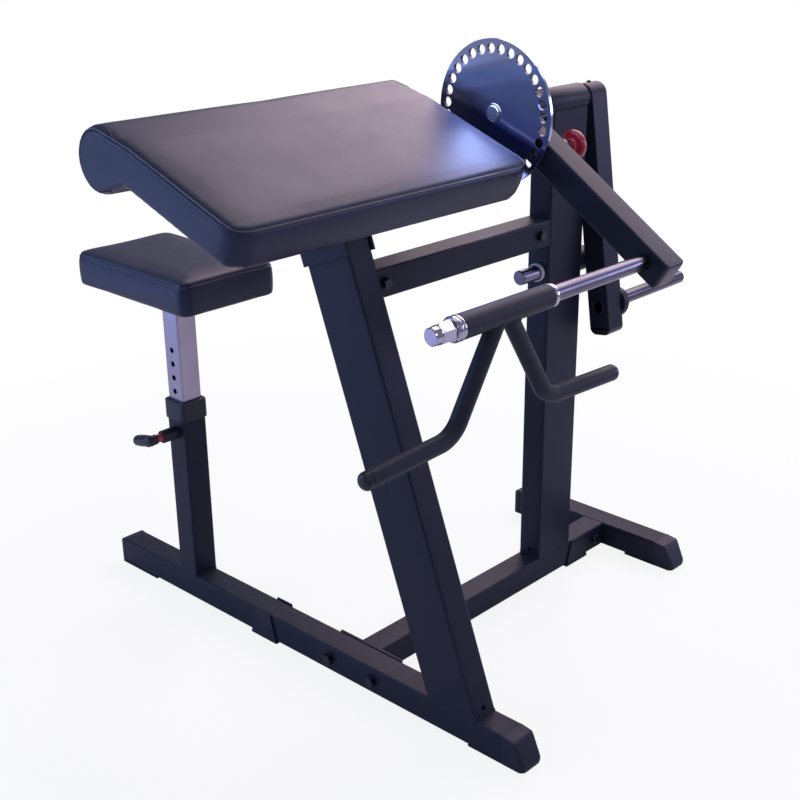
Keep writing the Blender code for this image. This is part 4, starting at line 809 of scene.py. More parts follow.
@cache
def perforated_tree() -> NodeTree:
    """Geometry Nodes for a plate with a bore and a circle of holes, whose walls take a darker finish of
    painted shade.
    """
    ins = {
        "Start": (GEOMETRY, None), "Radius": (FLOAT, 120 * MM), "Thickness": (FLOAT, 6 * MM),
        "Bore": (FLOAT, 12 * MM), "Holes": (INTEGER, 31), "Hole Radius": (FLOAT, 8 * MM),
        "Hole Circle": (FLOAT, 104 * MM), "Finish": (MATERIAL, None), "Wall Shade Finish": (MATERIAL, None),
    }
    graph, given, out = group("GeometryNodeTree", "perforated_plate", ins, {"Geometry": GEOMETRY})
    radius, deep = given["Radius"], graph.times(given["Thickness"], 3.0)
    plate = graph.drum(192, radius, given["Thickness"])
    inputs = {"Vertices": given["Holes"], "Radius": given["Hole Circle"]}
    ring = graph.add("GeometryNodeMeshCircle", inputs).outputs[0]
    inputs = {"Points": ring, "Instance": graph.drum(36, given["Hole Radius"], deep)}
    drills = graph.add("GeometryNodeInstanceOnPoints", inputs).outputs[0]
    cut = graph.add("GeometryNodeMeshBoolean", {"Mesh 1": plate}, solver="EXACT")
    for tool in (drills, graph.drum(64, given["Bore"], deep)):
        graph.feed(cut.inputs["Mesh 2"], tool)
    worn = graph.coated(cut.outputs["Mesh"], given["Finish"])
    normal = graph.add("GeometryNodeInputNormal").outputs["Normal"]
    upright = graph.add("ShaderNodeSeparateXYZ", {0: normal}).outputs["Z"]
    side = graph.math("LESS_THAN", graph.math("ABSOLUTE", upright), 0.5)
    place = graph.add("GeometryNodeInputPosition").outputs[0]
    reach = graph.add("ShaderNodeVectorMath", {0: place}, operation="LENGTH").outputs["Value"]
    inner = graph.math("LESS_THAN", reach, graph.times(radius, 0.97))
    # The walls of the holes and the bore take the wall finish: painted shade inside the holes.
    inputs = {0: worn, "Selection": graph.times(inner, side), "Material": given["Wall Shade Finish"]}
    graph.feed(out[0], graph.add("GeometryNodeSetMaterial", inputs).outputs[0])
    return graph.tree


@dataclass
class Screws:
    """A set of alike hexagon screws on one body."""

    name: str
    body: str
    seats: list[tuple[float, float, float]]
    rotation: tuple[float, float, float]
    across: float
    head: float
    washer: float
    shank: float
    length: float
    nodes: tuple[str, ...] = ()

    def build(self) -> None:
        """Grows the screws at their seats, whose places are in metres."""
        source = bpy.data.meshes.new("seats")
        source.from_pydata(self.seats, [], [])
        sizes = {
            "Across Flats": self.across, "Head": self.head, "Washer Radius": self.washer, "Washer": 2,
            "Shank Radius": self.shank, "Shank": self.length,
        }
        values = {key: size * MM for key, size in sizes.items()}
        values |= {"Rotation": self.rotation, "Finish": ZINC.material()}
        piece = crisp(grown(self.name, source, screw_tree(), values), 0.35 * MM)
        mount(piece, ZINC, self.body, *self.nodes)


# Across the flats, head, washer's radius, shank's radius and length, in millimetres
FRAME_BOLT = (17, 6.4, 10.5, 5, 14)
FLANGE_BOLT = (19, 7.2, 11.8, 6, 70)
BOARD_SCREW = (10, 3.6, 7, 3, 10)


@dataclass
class Beads:
    """The weld beads of one body."""

    name: str
    body: str
    paths: list[tuple[Points, bool]]
    radius: float = 1.4
    pitch: float = 3.2

    def build(self) -> None:
        """Grows the beads along their paths."""
        values = {
            "Radius": self.radius * MM, "Pitch": self.pitch * MM, "Ripple": 0.12,
            "Finish": PAINT.material(),
        }
        piece = grown(self.name, wire(self.paths), bead_tree(), values)
        piece.data.shade_smooth()
        mount(piece, PAINT, self.body)


def loop_path(half_x: float, half_y: float, place: Matrix) -> tuple[Points, bool]:
    """A closed path round a rectangular tube, with its corners rounded, sizes in millimetres."""
    outline = eased(rectangle(half_x, half_y), 4.5, 4, closed=True)
    return [place @ Vector((x * MM, y * MM, 0)) for x, y in outline], True


def round_path(radius: float, place: Matrix) -> tuple[Points, bool]:
    """A closed path round a bar, radius in millimetres."""
    return [place @ p for p in circle(radius * MM, 0, 48)], True


@dataclass
class Upholstery:
    """A stuffed piece: foam under vinyl, swollen by a cloth run, with a welt on its seam."""

    name: str
    node: str
    voxel: float
    cap: float
    fill: float
    passes: int = 24
    pressure: float = 4.0
    stiffness: float = 25.0
    frames: int = 20

    def swell(self, shape: Any, held: Callable[[Vector], bool]) -> Object:
        """Remeshes the starting shape and lets pressure round it out.

        Args:
            shape: the starting shape, which is changed.
            held: tells whether a point stays where it is.

        Returns:
            The swollen piece, with one subdivision.
        """
        remesh = shape.modifiers.new("even_mesh", "REMESH")
        remesh.mode = "VOXEL"
        remesh.voxel_size = self.voxel
        remesh.use_smooth_shade = True
        baked(shape)
        start = [v.co.copy() for v in shape.data.vertices]
        normals = [v.normal.copy() for v in shape.data.vertices]
        pins = shape.vertex_groups.new(name="held")
        pins.add([i for i, co in enumerate(start) if held(co)], 1.0, "REPLACE")
        cloth = shape.modifiers.new("pressure", "CLOTH")
        settings = cloth.settings
        settings.use_pressure = True
        settings.uniform_pressure_force = self.pressure
        settings.effector_weights.gravity = 0
        settings.vertex_group_mass = "held"
        settings.tension_stiffness = settings.compression_stiffness = self.stiffness
        settings.bending_stiffness = 4
        cloth.point_cache.frame_start = 1
        cloth.point_cache.frame_end = self.frames
        for step in range(1, self.frames + 1):
            bpy.context.scene.frame_set(step)
        baked(shape)
        bpy.context.scene.frame_set(1)
        moved = [v.co - origin for v, origin in zip(shape.data.vertices, start)]
        rise = [min(max(m.dot(n), 0.0), self.cap) for m, n in zip(moved, normals)]
        rise = self.evened(shape.data, rise)
        for vertex, origin, normal, lift in zip(shape.data.vertices, start, normals, rise):
            vertex.co = origin + normal * lift
        shape.vertex_groups.clear()
        smooth = shape.modifiers.new("one_subdivision", "SUBSURF")
        smooth.levels = smooth.render_levels = 1
        baked(shape)
        shape.data.shade_smooth()
        shape.data.materials.clear()
        shape.data.materials.append(VINYL.material())
        return shape

    def evened(self, mesh: Mesh, values: list[float]) -> list[float]:
        """Spreads a value at each vertex over its neighbours, so that no fold is left."""
        pairs = [tuple(edge.vertices) for edge in mesh.edges]
        for _ in range(self.passes):
            total = [2 * value for value in values]
            share = [2.0] * len(values)
            for a, b in pairs:
                total[a] += values[b]
                total[b] += values[a]
                share[a] += 1
                share[b] += 1
            values = [t / n for t, n in zip(total, share)]
        return values

    def seam(self, piece: Any, path: Points, closed: bool, depth: float, width: float) -> Points:
        """Presses a groove along a path on the piece.

        Args:
            piece: the swollen piece.
            path: points near its surface.
            closed: whether the path closes.
            depth: the groove's depth in metres.
            width: its half width in metres.

        Returns:
            The path, moved on to the surface before the groove.
        """
        surface = BVHTree.FromObject(piece, bpy.context.evaluated_depsgraph_get())
        dense = []
        count = len(path) if closed else len(path) - 1
        for i in range(count):
            here, there = path[i], path[(i + 1) % len(path)]
            steps = max(1, int((there - here).length / (2 * MM)))
            dense += [here.lerp(there, k / steps) for k in range(steps)]
        if not closed:
            dense.append(path[-1])
        snapped = [surface.find_nearest(point)[0] for point in dense]
        smooth = snapped[:]
        for i in range(1, len(snapped) - 1):
            smooth[i] = (snapped[i - 1] + snapped[i] * 2 + snapped[i + 1]) / 4
        tree = KDTree(len(smooth))
        for i, point in enumerate(smooth):
            tree.insert(point, i)
        tree.balance()
        for vertex in piece.data.vertices:
            near = tree.find(vertex.co)[2]
            if near < width:
                vertex.co -= vertex.normal * depth * (1 - (near / width) ** 2) ** 2
        return smooth

    def welt(self, name: str, path: Points, radius: float) -> None:
        """Lays a round welt along a snapped path and mounts it with the piece's body."""
        made = piece_from(name, bent(path, [radius] * len(path), Matrix(), 10), WELT)
        mount(made, WELT, body_of(self.node))

    def finish(self, piece: Any) -> None:
        stand_for(piece, VINYL, self.node)


@dataclass
class ArmPad(Upholstery):
    """The arm pad: a flat panel with a thick roll on the user's side. Sizes are in millimetres."""

    half: float = 310.0
    thick: float = 66.0
    front: float = 154.0
    roll: float = 50.0
    roll_x: float = -151.6
    roll_z: float = -57.0
    lift: float = 6.0
    edge: float = 9.0
    corner: float = 30.0
    crown: float = 3.0
    flat_from: int = 73
    shrink: float = 1.6
    seam_span: tuple[int, int] = (27, 87)
    roll_seam: int = 67
    top_edge: int = 3

    def section(self) -> Profile:
        """The pad's side view in its own frame, clockwise from the top of its front edge."""
        low = -self.thick
        lip = 0.8 * self.edge
        points = arc(self.front - self.edge, -self.edge, self.edge, 90, 0, 6)
        for i in range(1, 6):
            share = i / 6
            bulge = 2.6 * math.sin(math.pi * share) - 2.0 * share
            points.append((self.front + bulge, -self.edge + share * (low + self.edge + lip)))
        points += arc(self.front - 2 - lip, low + lip, lip, 0, -90, 5)
        neck = self.roll_x + 1.32 * self.roll
        points += [(self.front - 10 + (neck - self.front + 10) * i / 9, low) for i in range(1, 10)]
        points += arc(self.roll_x, self.roll_z, self.roll, -40, self.lift - 270, 34)
        crest_x, crest_z = points[-1]
        start = crest_x - crest_z / math.tan(math.radians(self.lift))
        for i in range(1, 12):
            share = i / 12
            points.append((crest_x + share * (start - crest_x), crest_z * (1 - share)))
        reach = self.front - self.edge - start
        points += [(start + reach * i / 14, 0.0) for i in range(14)]
        return points

    def station(self, side: float, inset: float) -> Points:
        """The section at one distance across the pad.

        Args:
            side: the distance from the pad's middle.
            inset: how far the section is drawn in.

        Returns:
            The section's points in the pad's frame, in metres.
        """
        section = self.section()
        count = len(section)
        from_end = self.half - abs(side)
        cut = 0.0
        if from_end < self.corner:
            cut = self.corner - math.sqrt(self.corner**2 - (self.corner - from_end) ** 2)
        points = []
        for i, (x, z) in enumerate(section):
            ax, az = section[i - 1]
            bx, bz = section[(i + 1) % count]
            size = math.hypot(bx - ax, bz - az)
            px = x + inset * (bz - az) / size
            pz = z - inset * (bx - ax) / size
            weight = min(1.0, max(0.0, (px - self.front + 90) / 90))
            px -= cut * weight * weight * (3 - 2 * weight)
            if i >= self.flat_from:
                across = 1 - (side / self.half) ** 2
                begin = min(1.0, max(0.0, (px + 101) / 110))
                begin *= begin * (3 - 2 * begin)
                pz += self.crown * across * begin * max(0.0, 1 - (px / self.front) ** 4)
            points.append(Vector((px * MM, side * MM, pz * MM)))
        return points

    def rim(self, side: float) -> float:
        """How far the section is drawn in at one distance across the pad."""
        gap = self.half - abs(side)
        if gap >= self.edge:
            return 0.0
        return self.edge * (1 - math.sqrt(1 - (1 - gap / self.edge) ** 2))

    def start(self) -> Object:
        """The pad before it swells, a little under its final size."""
        ends = [self.half - self.edge * (1 - math.cos(math.radians(15 * i))) for i in range(7)]
        sides = ends + [0.9 * self.half, 0.6 * self.half, 0.3 * self.half, 0.0]
        sides += [-side for side in sides[-2::-1]]
        rings = []
        for side in sides:
            drawn = side - math.copysign(self.shrink, side) if side else 0.0
            ring = self.station(side, self.rim(side) + self.shrink)
            rings.append([PAD @ Vector((p.x, drawn * MM, p.z)) for p in ring])
        return piece_from(self.name, skin(rings), VINYL)

    def seam_path(self) -> Points:
        """The seam: round one end, along the top of the front edge, and round the other end."""
        side = self.half - 0.28 * self.edge
        first, last = self.seam_span
        near, far = (self.station(s, self.rim(s))[first:last] for s in (side, -side))
        steps = [side - 2.0, side - 6, side - 11, side - 17, side - 24, side - 32]
        steps += [(side - 32) * (1 - i / 12) for i in range(1, 12)]
        across = steps + [0.0] + [-s for s in steps[::-1]]
        front = [self.station(s, self.rim(s))[self.top_edge] for s in across]
        return [PAD @ p for p in near + front + far[::-1]]

    def cross_seams(self) -> list[Points]:
        """The seams round the roll near each end, which curve out to the end's own seam."""
        inward = [0.0, 2.0, 4.6, 7.2, 9.2, 10.4, 10.8] + [11.0] * 24
        seams = []
        for sign in (1, -1):
            path = []
            for i, step in enumerate(inward):
                side = sign * (self.half - 0.3 * self.edge - step)
                path.append(PAD @ self.station(side, self.rim(side))[self.roll_seam - i])
            seams.append(path)
        return seams

    def build(self) -> None:
        """Swells the pad, presses its seams and lays its welts."""
        to_pad = PAD.inverted()
        low = (4.0 - self.thick) * MM

        def held(point: Vector) -> bool:
            """Tells whether a point lies on the pad's flat underside."""
            local = to_pad @ point
            return local.z < low and local.x > -85 * MM

        piece = self.swell(self.start(), held)
        path = self.seam(piece, self.seam_path(), False, 1.1 * MM, 7 * MM)
        cross = [self.seam(piece, line, False, 0.6 * MM, 4.5 * MM) for line in self.cross_seams()]
        self.finish(piece)
        self.welt("arm_pad_welt", path, 1.15 * MM)
        for line, label in zip(cross, ("left", "right")):
            self.welt(f"arm_pad_cross_seam_{label}", line, 0.5 * MM)


@dataclass
class SeatCushion(Upholstery):
    """The seat cushion: a low block with drawn-in sides. Sizes are in millimetres."""

    length: float = 313.0
    width: float = 208.0
    low: float = 621.0
    height: float = 64.0
    corner: float = 20.0
    draw: float = 2.5
    shrink: float = 1.2

    def ring(self, inset: float, level: float) -> Points:
        """One level of the cushion.

        Args:
            inset: how far the level is drawn in from the widest one.
            level: its share of the cushion's height.

        Returns:
            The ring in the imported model's frame, in metres.
        """
        corner = max(self.corner - inset, 4.0)
        centres = rectangle(self.length / 2 - inset - corner, self.width / 2 - inset - corner)
        made = []
        for i, (x, y) in enumerate(centres):
            bend = arc(x, y, corner, 90 * i, 90 * i + 90, 8)
            made += bend
            ex, ey = bend[-1]
            away = math.radians(90 * (i + 1))
            nx, ny = centres[(i + 1) % 4]
            nx, ny = nx + corner * math.cos(away), ny + corner * math.sin(away)
            for k in range(1, 8):
                share = k / 8
                drawn = self.draw * math.sin(math.pi * share)
                px = ex + (nx - ex) * share - drawn * math.cos(away)
                py = ey + (ny - ey) * share - drawn * math.sin(away)
                made.append((px, py))
        z = self.low + level * self.height
        return [Vector((SEAT_X + x * MM, CENTRE_Y + y * MM, z * MM)) for x, y in made]

    def build(self) -> None:
        """Swells the cushion, presses its seams and lays its welts."""
        levels = [(4, 0), (1.6, 0.04), (0.6, 0.2), (0, 0.42), (0.2, 0.62), (0.9, 0.77), (2.2, 0.86)]
        levels += [(4.8, 0.93), (9, 0.965), (18, 0.982), (40, 0.994), (80, 1)]
        rings = [self.ring(inset + self.shrink, 0.97 * level + 0.01) for inset, level in levels]
        low = (self.low + 5) * MM
        piece = self.swell(piece_from(self.name, skin(rings), VINYL), lambda p: p.z < low)
        upper = self.seam(piece, self.ring(1.8, 0.84), True, 0.9 * MM, 6 * MM)
        self.finish(piece)
        self.welt("seat_cushion_welt", upper + upper[:1], 0.7 * MM)


@dataclass
class NoseCap:
    """A rubber cap with a sloped nose and a sole under its tube. Sizes are in millimetres."""

    node: str
    joint: tuple[float, float]
    sole: float = 71.0
    half: float = 25.0
    steps: int = 6

    def ring(self, level: tuple[float, float, float, float, float]) -> Points:
        """One level of the nose: its height, reach, half width, corner and backward rise."""
        z, reach, half, corner, rise = level
        outline = [(0.4, -half)]
        outline += arc(reach - corner, corner - half, corner, -90, 0, self.steps)
        outline += arc(reach - corner, half - corner, corner, 0, 90, self.steps)
        outline.append((0.4, half))
        base = Vector((*self.joint, 0))
        return [(base + Vector((x, y, z + rise * max(0.0, 24 - x)))) * MM for x, y in outline]

    def build(self) -> None:
        """Makes the nose and the sole as one mounted piece."""
        half = self.half
        levels = [(0.0, 42.0, half - 2.2, 9.0, 0.0), (1.0, 44.4, half - 0.5, 10.0, 0.0)]
        levels += [(3.0, 45.6, half, 10.5, 0.0), (9.0, 46.4, half, 10.0, 0.0)]
        levels += [(12.5, 45.6, half, 9.0, 0.0), (45.5, 27.6, half, 3.6, 0.06)]
        levels += [(49.4, 24.8, half - 0.3, 3.0, 0.12), (50.6, 23.2, half - 1.3, 2.4, 0.13)]
        levels += [(51.0, 21.0, half - 3.2, 2.0, 0.13)]
        place = Matrix.Translation((self.joint[0] * MM, self.joint[1] * MM, 0))
        rings = [self.ring(level) for level in levels]
        nose = piece_from(self.node + "_nose", skin(rings), RUBBER, 30)
        slab = bmesh.new()
        size = Matrix.Diagonal(((self.sole + 6) * MM, (2 * half - 3) * MM, 3.7 * MM, 1))
        middle = Matrix.Translation(((3 - self.sole / 2) * MM, 0, 1.85 * MM))
        bmesh.ops.create_cube(slab, size=1, matrix=place @ middle @ size)
        combined(nose, piece_from("sole", slab, RUBBER), "UNION")
        stand_for(crisp(nose, 0.8 * MM, 28), RUBBER, self.node)


@dataclass
class TubeFrame:
    """The welded frame: its tubes, brackets, rubber feet, beads and bolts."""

    painted: tuple[str, ...] = (
        "main_base_tube", "lower_cross_tube", "stabiliser", "lean_post", "pad_bracket", "seat_post",
        "upright_post", "upper_cross_tube", "seat_plate", "lever_arm",
    )
    feet: tuple[str, ...] = ("rear_foot_cap", "stabiliser_rear_cap", "mid_foot_pad", "cross_foot_pad")
    housing_weld: float = 0.9307
    plate_weld: float = 0.6158

    def build(self) -> None:
        """Copies the tubes with rounded edges, and adds beads and bolts."""
        for node in self.painted:
            refined(node, PAINT, 0.7)
        for node in self.feet:
            refined(node, RUBBER, 1.8, 3)
        NoseCap("front_foot_cap", (476.5, -280.0)).build()
        NoseCap("stabiliser_front_cap", (287.5, 435.3)).build()
        for node in ("seat_board", "arm_pad_board"):
            refined(node, PLYWOOD, 0.5)
        refined("seat_post_bushing", PLASTIC, 1.6, 3)
        refined("seat_tube", SATIN_CHROME, 0.6)
        self.beads()
        self.bolts()

    def beads(self) -> None:
        """The welds between the tubes of the fixed frame and under the seat plate."""

        def on_base(x: float, y: float) -> Matrix:
            """A place just above the tubes on the floor."""
            return Matrix.Translation((x, y, BASE_TOP))

        paths = [
            loop_path(25.4, 24.4, on_base(SEAT_X, CENTRE_Y)),
            loop_path(53.6, 24.4, on_base(0.3698, CENTRE_Y)),
            loop_path(24.4, 50.4, on_base(PIVOT_X, 0.2444)),
        ]
        for side in (-1, 1):
            x = PIVOT_X + side * 21.9 * MM
            ends = [Vector((x, y, self.housing_weld)) for y in (0.197, 0.245, 0.292)]
            paths.append((ends, False))
        Beads("frame_weld_beads", "root", paths).build()
        under = [loop_path(22.2, 22.2, Matrix.Translation((SEAT_X, CENTRE_Y, self.plate_weld)))]
        Beads("seat_plate_weld_bead", "seat", under).build()

    def bolts(self) -> None:
        """The bolts that hold the frame together and the cushions to their plates."""
        face = PIVOT_X + 25 * MM
        out = (0.0, math.radians(90), 0.0)
        seats = [(face, 0.1671, 0.7168), (face, -0.2277, 0.7168)]
        nodes = ("upper_bolt_left", "upper_bolt_right")
        Screws("upper_bolts", "root", seats, out, *FRAME_BOLT, nodes).build()
        seats = [(face, 0.3800, 0.0290)]
        Screws("foot_bolt", "root", seats, out, *FRAME_BOLT, ("stabiliser_bolt",)).build()
        seats = [(0.0810, -0.3053, 0.0290), (0.1860, -0.3053, 0.0290)]
        nodes = ("flange_bolt_rear", "flange_bolt_front")
        away = (math.radians(90), 0.0, 0.0)
        Screws("flange_bolts", "root", seats, away, *FLANGE_BOLT, nodes).build()
        for node in ("flange_nut_rear", "flange_nut_front"):
            refined(node, ZINC, 0.5)
        down = (math.radians(180), 0.0, 0.0)
        seats = [(SEAT_X + x, CENTRE_Y + y, 0.6164) for x in (-0.064, 0.064) for y in (-0.046, 0.046)]
        Screws("seat_board_screws", "seat", seats, down, *BOARD_SCREW).build()
        pad_down = (PAD.to_3x3() @ turn(180, "X").to_3x3()).to_euler()
        seats = [tuple(PAD @ Vector((x, y, -0.0716))) for x in (-0.068, 0.048) for y in (-0.047, 0.047)]
        Screws("pad_board_screws", "root", seats, tuple(pad_down), *BOARD_SCREW).build()


def light_box(name: str, place: tuple, target: tuple, size: tuple, power: float, colour: tuple) -> None:
    """Adds one rectangular soft light.

    Args:
        name: the light's name.
        place: where it stands, in metres.
        target: what it faces.
        size: its two sides in metres.
        power: its strength in watts.
        colour: its colour.
    """
    lamp = bpy.data.lights.new(name, "AREA")
    lamp.shape = "RECTANGLE"
    lamp.size, lamp.size_y = size
    lamp.energy, lamp.color = power, colour
    thing = placed(name, lamp)
    thing.location = place
    aim = Vector(target) - Vector(place)
    thing.rotation_euler = aim.to_track_quat("-Z", "Y").to_euler()


@dataclass
class Pivot:
    """The fixed parts of the pivot: housing, bushes, stop peg and bumper. Sizes in millimetres."""

    peg_drop: float = 303.0

    def build(self) -> None:
        """Turns the fixed round parts of the upright."""
        axis = along(PIVOT)
        barrel = ring_profile(25, 19, 470.4, 576.4, 1.2)
        lathe("pivot_housing", "barrel", barrel, axis, PAINT, True)
        near = [(12.8, 468.3), (23, 468.3), (23, 470.1), (18.7, 470.1), (18.7, 495), (12.8, 495)]
        far = [(r, 468.3 + 578.5 - y) for r, y in near]
        for profile, label in ((near, "near"), (far, "far")):
            rounded = eased(profile, 0.5, closed=True)
            lathe(f"pivot_bush_{label}", "turned", rounded, axis, NYLON, True)
        peg_axis = along(PIVOT, z=-self.peg_drop)
        profile = eased([(11.7, 419), (13.5, 420.8), (13.5, 628)], 0.6)
        lathe("stop_peg", "bar", profile, peg_axis, SHADED_CHROME)
        collar = ring_profile(17, 13.8, 466.1, 474.1, 1.6)
        piece = turned("stop_peg_sleeve", collar, peg_axis, NYLON, True)
        stand_for(piece, NYLON, "stop_peg_collar")
        profile = [(13.8, 628.3), (13.8, 574.7)]
        profile += eased([(14.5, 574.7), (22, 574.7), (22, 633.7), (0.5, 633.7)], 2.4, 4)
        lathe("stop_bumper", "sleeve", profile, peg_axis, RUBBER)


@dataclass
class WeightArm:
    """The shaft with the selector disc and the arm that carries the plates, in millimetres."""

    half: float = 22.5
    reach: float = 420.5
    near: float = 588.3
    far: float = 633.3
    post_drop: float = 389.0
    corner: float = 13.0
    cap: float = 10.0

    def disc(self) -> None:
        """The perforated disc on its boss."""
        empty = bpy.data.meshes.new("start")
        empty.from_pydata([(0, 0, 0)], [], [])
        values = {
            "Radius": 120 * MM, "Thickness": 6 * MM, "Bore": 12.9 * MM, "Holes": 31,
            "Hole Radius": 8.25 * MM, "Hole Circle": 104.3 * MM, "Finish": DISC_CHROME.material(),
            "Wall Shade Finish": SHADED_HOLE_WALL.material(),
        }
        plate = crisp(grown("selector_disc_plate", empty, perforated_tree(), values), 0.5 * MM)
        plate.data.transform(LEVER @ Matrix.Translation((0, 344.3 * MM, 0)) @ ALONG_Y)
        stand_for(plate, DISC_CHROME, "selector_disc")
        profile = ring_profile(15.6, 12.9, 339.9, 341.5, 0.6)
        piece = turned("selector_disc_boss", profile, along(PIVOT), DISC_CHROME, True)
        mount(piece, DISC_CHROME, body_of("selector_disc"))

    def foot(self, inset: float) -> Profile:
        """The outline of the arm's lower end, drawn in on all sides."""
        x, z = self.half - self.corner, self.corner - self.half - self.reach
        outline = arc(x, z, self.corner - inset, 0, -90, 8)
        return outline + arc(-x, z, self.corner - inset, -90, -180, 8)

    def end_cap(self) -> None:
        """The moulded cap that closes the arm's lower end."""
        levels = [(self.near - 0.3, 1.6), (self.near + 1.6, -0.3)]
        levels += [(self.far - 1.6, -0.3), (self.far + 0.3, 1.6)]
        rings = []
        for y, inset in levels:
            foot = self.foot(inset)
            high = self.cap - self.half - self.reach
            outline = [(foot[0][0], high)] + foot + [(foot[-1][0], high)]
            rings.append([ARM @ Vector((x * MM, y * MM, z * MM)) for x, z in outline])
        cap = piece_from("weight_arm_end_moulding", skin(rings), PLASTIC, 50)
        mount(even_normals(cap), PLASTIC, body_of("weight_arm"))

    def arm(self) -> None:
        """The arm: a bar with a round head, and a collar round the shaft."""
        levels = [(self.near, 1.3), (self.near + 0.4, 0.4), (self.near + 1.3, 0.0)]
        levels += [(self.far - 1.3, 0.0), (self.far - 0.4, 0.4), (self.far, 1.3)]
        rings = []
        for y, inset in levels:
            outline = arc(0, 0, self.half - inset, 180, 0, 32)
            outline += self.foot(inset)
            rings.append([ARM @ Vector((x * MM, y * MM, z * MM)) for x, z in outline])
        bar = piece_from("weight_arm_bar", skin(rings), PAINT)
        hub = eased([(18.8, 578.8), (20, 578.8), (20, 590)], 1.0)
        combined(bar, turned("hub", hub, along(ARM), PAINT), "UNION")
        post_axis = along(ARM, z=-self.post_drop)
        combined(bar, turned("bore", [(12.7, 580), (12.7, 640)], post_axis, PAINT), "DIFFERENCE")
        shaded(bar.data, 42)
        stand_for(even_normals(bar), PAINT, "weight_arm")
        paths = [round_path(20.6, along(ARM) @ Matrix.Translation((0, 0, (self.near - 0.2) * MM)))]
        Beads("weight_arm_weld_bead", "weight_arm_body", paths).build()

    def build(self) -> None:
        """Makes the parts that turn with the weight arm."""
        self.disc()
        self.arm()
        self.end_cap()
        profile = eased([(9.5, 336.6), (12.5, 336.6), (12.5, 634.8), (9.5, 634.8)], 1.4)
        lathe("pivot_shaft", "bar", profile, along(PIVOT), STEEL)
        post_axis = along(ARM, z=-self.post_drop)
        lip = self.near - 0.6
        profile = [(10.5, 860), (10.5, lip + 0.5), (11, lip), (12, lip), (12.5, lip + 0.5), (12.5, 865)]
        profile += [(7.5 + x, 865 + y) for x, y in arc(0, 0, 5, 15, 90, 6)]
        lathe("plate_post", "tube", profile, post_axis, SHADED_POST_CHROME)
        stop = [(12.8, 633.6), (30, 633.6), (30, 648), (25.5, 648.6), (24.5, 657.6), (12.8, 657.6)]
        lathe("plate_stop", "ring", eased(stop, 2.6, 4, True), post_axis, RUBBER, True)
        for node in ("set_screw_1", "set_screw_2"):
            refined(node, ZINC, 0.4)


@dataclass
class Lever:
    """The lever's round parts: hub bead, selector and bar. Sizes are in millimetres."""

    bar_x: float = 367.0
    pin_x: float = 104.3
    face: float = 400.0

    def nut(self, axis: Matrix) -> Object:
        """A hexagon nut with a round end."""
        ends = (-112.6, -151.6)
        rings = [[axis @ p for p in circle(28 / math.sqrt(3) * MM, z * MM, 6)] for z in ends]
        prism = piece_from("bar_end_nut", skin(rings), CHROME)
        barrel = [(14.2, -112.5), (16.2, -115), (16.2, -133), (14.8, -138.5), (13.3, -140)]
        barrel += [(13.1, -149.8), (11.4, -151.7)]
        combined(prism, turned("barrel", barrel, axis, CHROME), "INTERSECT")
        return crisp(prism, 0.4 * MM, 25)

    def end_cap(self) -> None:
        """The moulded cap on the lever's end, with a well rounded outer face."""
        levels = [(402.8, 0), (404.0, 0.5), (405.3, 1.6), (406.5, 3.4), (407.5, 6.0), (408.1, 10.5)]
        base = LEVER @ Matrix.Translation((0, 375 * MM, 0)) @ ALONG_X
        rings = []
        for z, inset in levels:
            outline = eased(rectangle(25 - inset, 25 - inset), 6.0, 5, closed=True)
            rings.append([base @ Vector((x * MM, y * MM, z * MM)) for x, y in outline])
        cap = piece_from("lever_end_moulding", skin(rings), PLASTIC, 50)
        stand_for(even_normals(cap), PLASTIC, "lever_end_cap")

    def build(self) -> None:
        """Makes the parts that ride on the lever, and the knob that pulls its pin."""
        self.end_cap()
        axis = along(LEVER, self.bar_x)
        profile = eased([(8.5, -138), (10, -136.5), (10, -112.3)], 0.5)
        profile += [(12.5, -112.3), (12.5, 396.7)]
        lathe("handle_bar", "round", profile, axis, SHADED_CHROME)
        lathe("bar_collar", "ring", ring_profile(18, 12.8, 101.3, 109.3, 1.2), axis, CHROME, True)
        spool = [(12.8, -112.3), (16.5, -112.3), (19, -108.5), (19, -104), (17.6, -103.2)]
        spool += [(17.6, -102.2), (19, -101.4), (19, -97.3), (12.8, -97.3)]
        lathe("bar_washer", "spool", eased(spool, 0.8, 2, True), axis, CHROME, True)
        stand_for(self.nut(axis), CHROME, "bar_nut")
        pin_axis = along(LEVER, self.pin_x) @ Matrix.Translation((0, 0, self.face * MM))
        barrel = [(12.5, -16), (12.5, 0.3), (14.2, 0.3), (15, 1.4), (15, 22.4), (13.8, 24)]
        barrel += [(8.7, 24), (8.7, 17)]
        lathe("selector_barrel", "turned", barrel, pin_axis, ZINC)
        knob = [(11, 36.3), (12, 41), (20.5, 42.8), (24.6, 45), (26, 48.2), (25.6, 51.5)]
        knob += [(24, 54.6), (21.8, 57), (20, 58.1), (18.6, 57.6), (17.2, 56.4), (8, 55.9)]
        lathe("selector_knob", "mushroom", eased(knob, 1.4, 3), pin_axis, RED)
        refined("selector_pin", STEEL, 0.3)
        refined("selector_spring", STEEL, 0)
        paths = [round_path(20.8, along(LEVER) @ Matrix.Translation((0, 0, (self.face + 0.2) * MM)))]
        Beads("lever_weld_beads", "lever", paths).build()


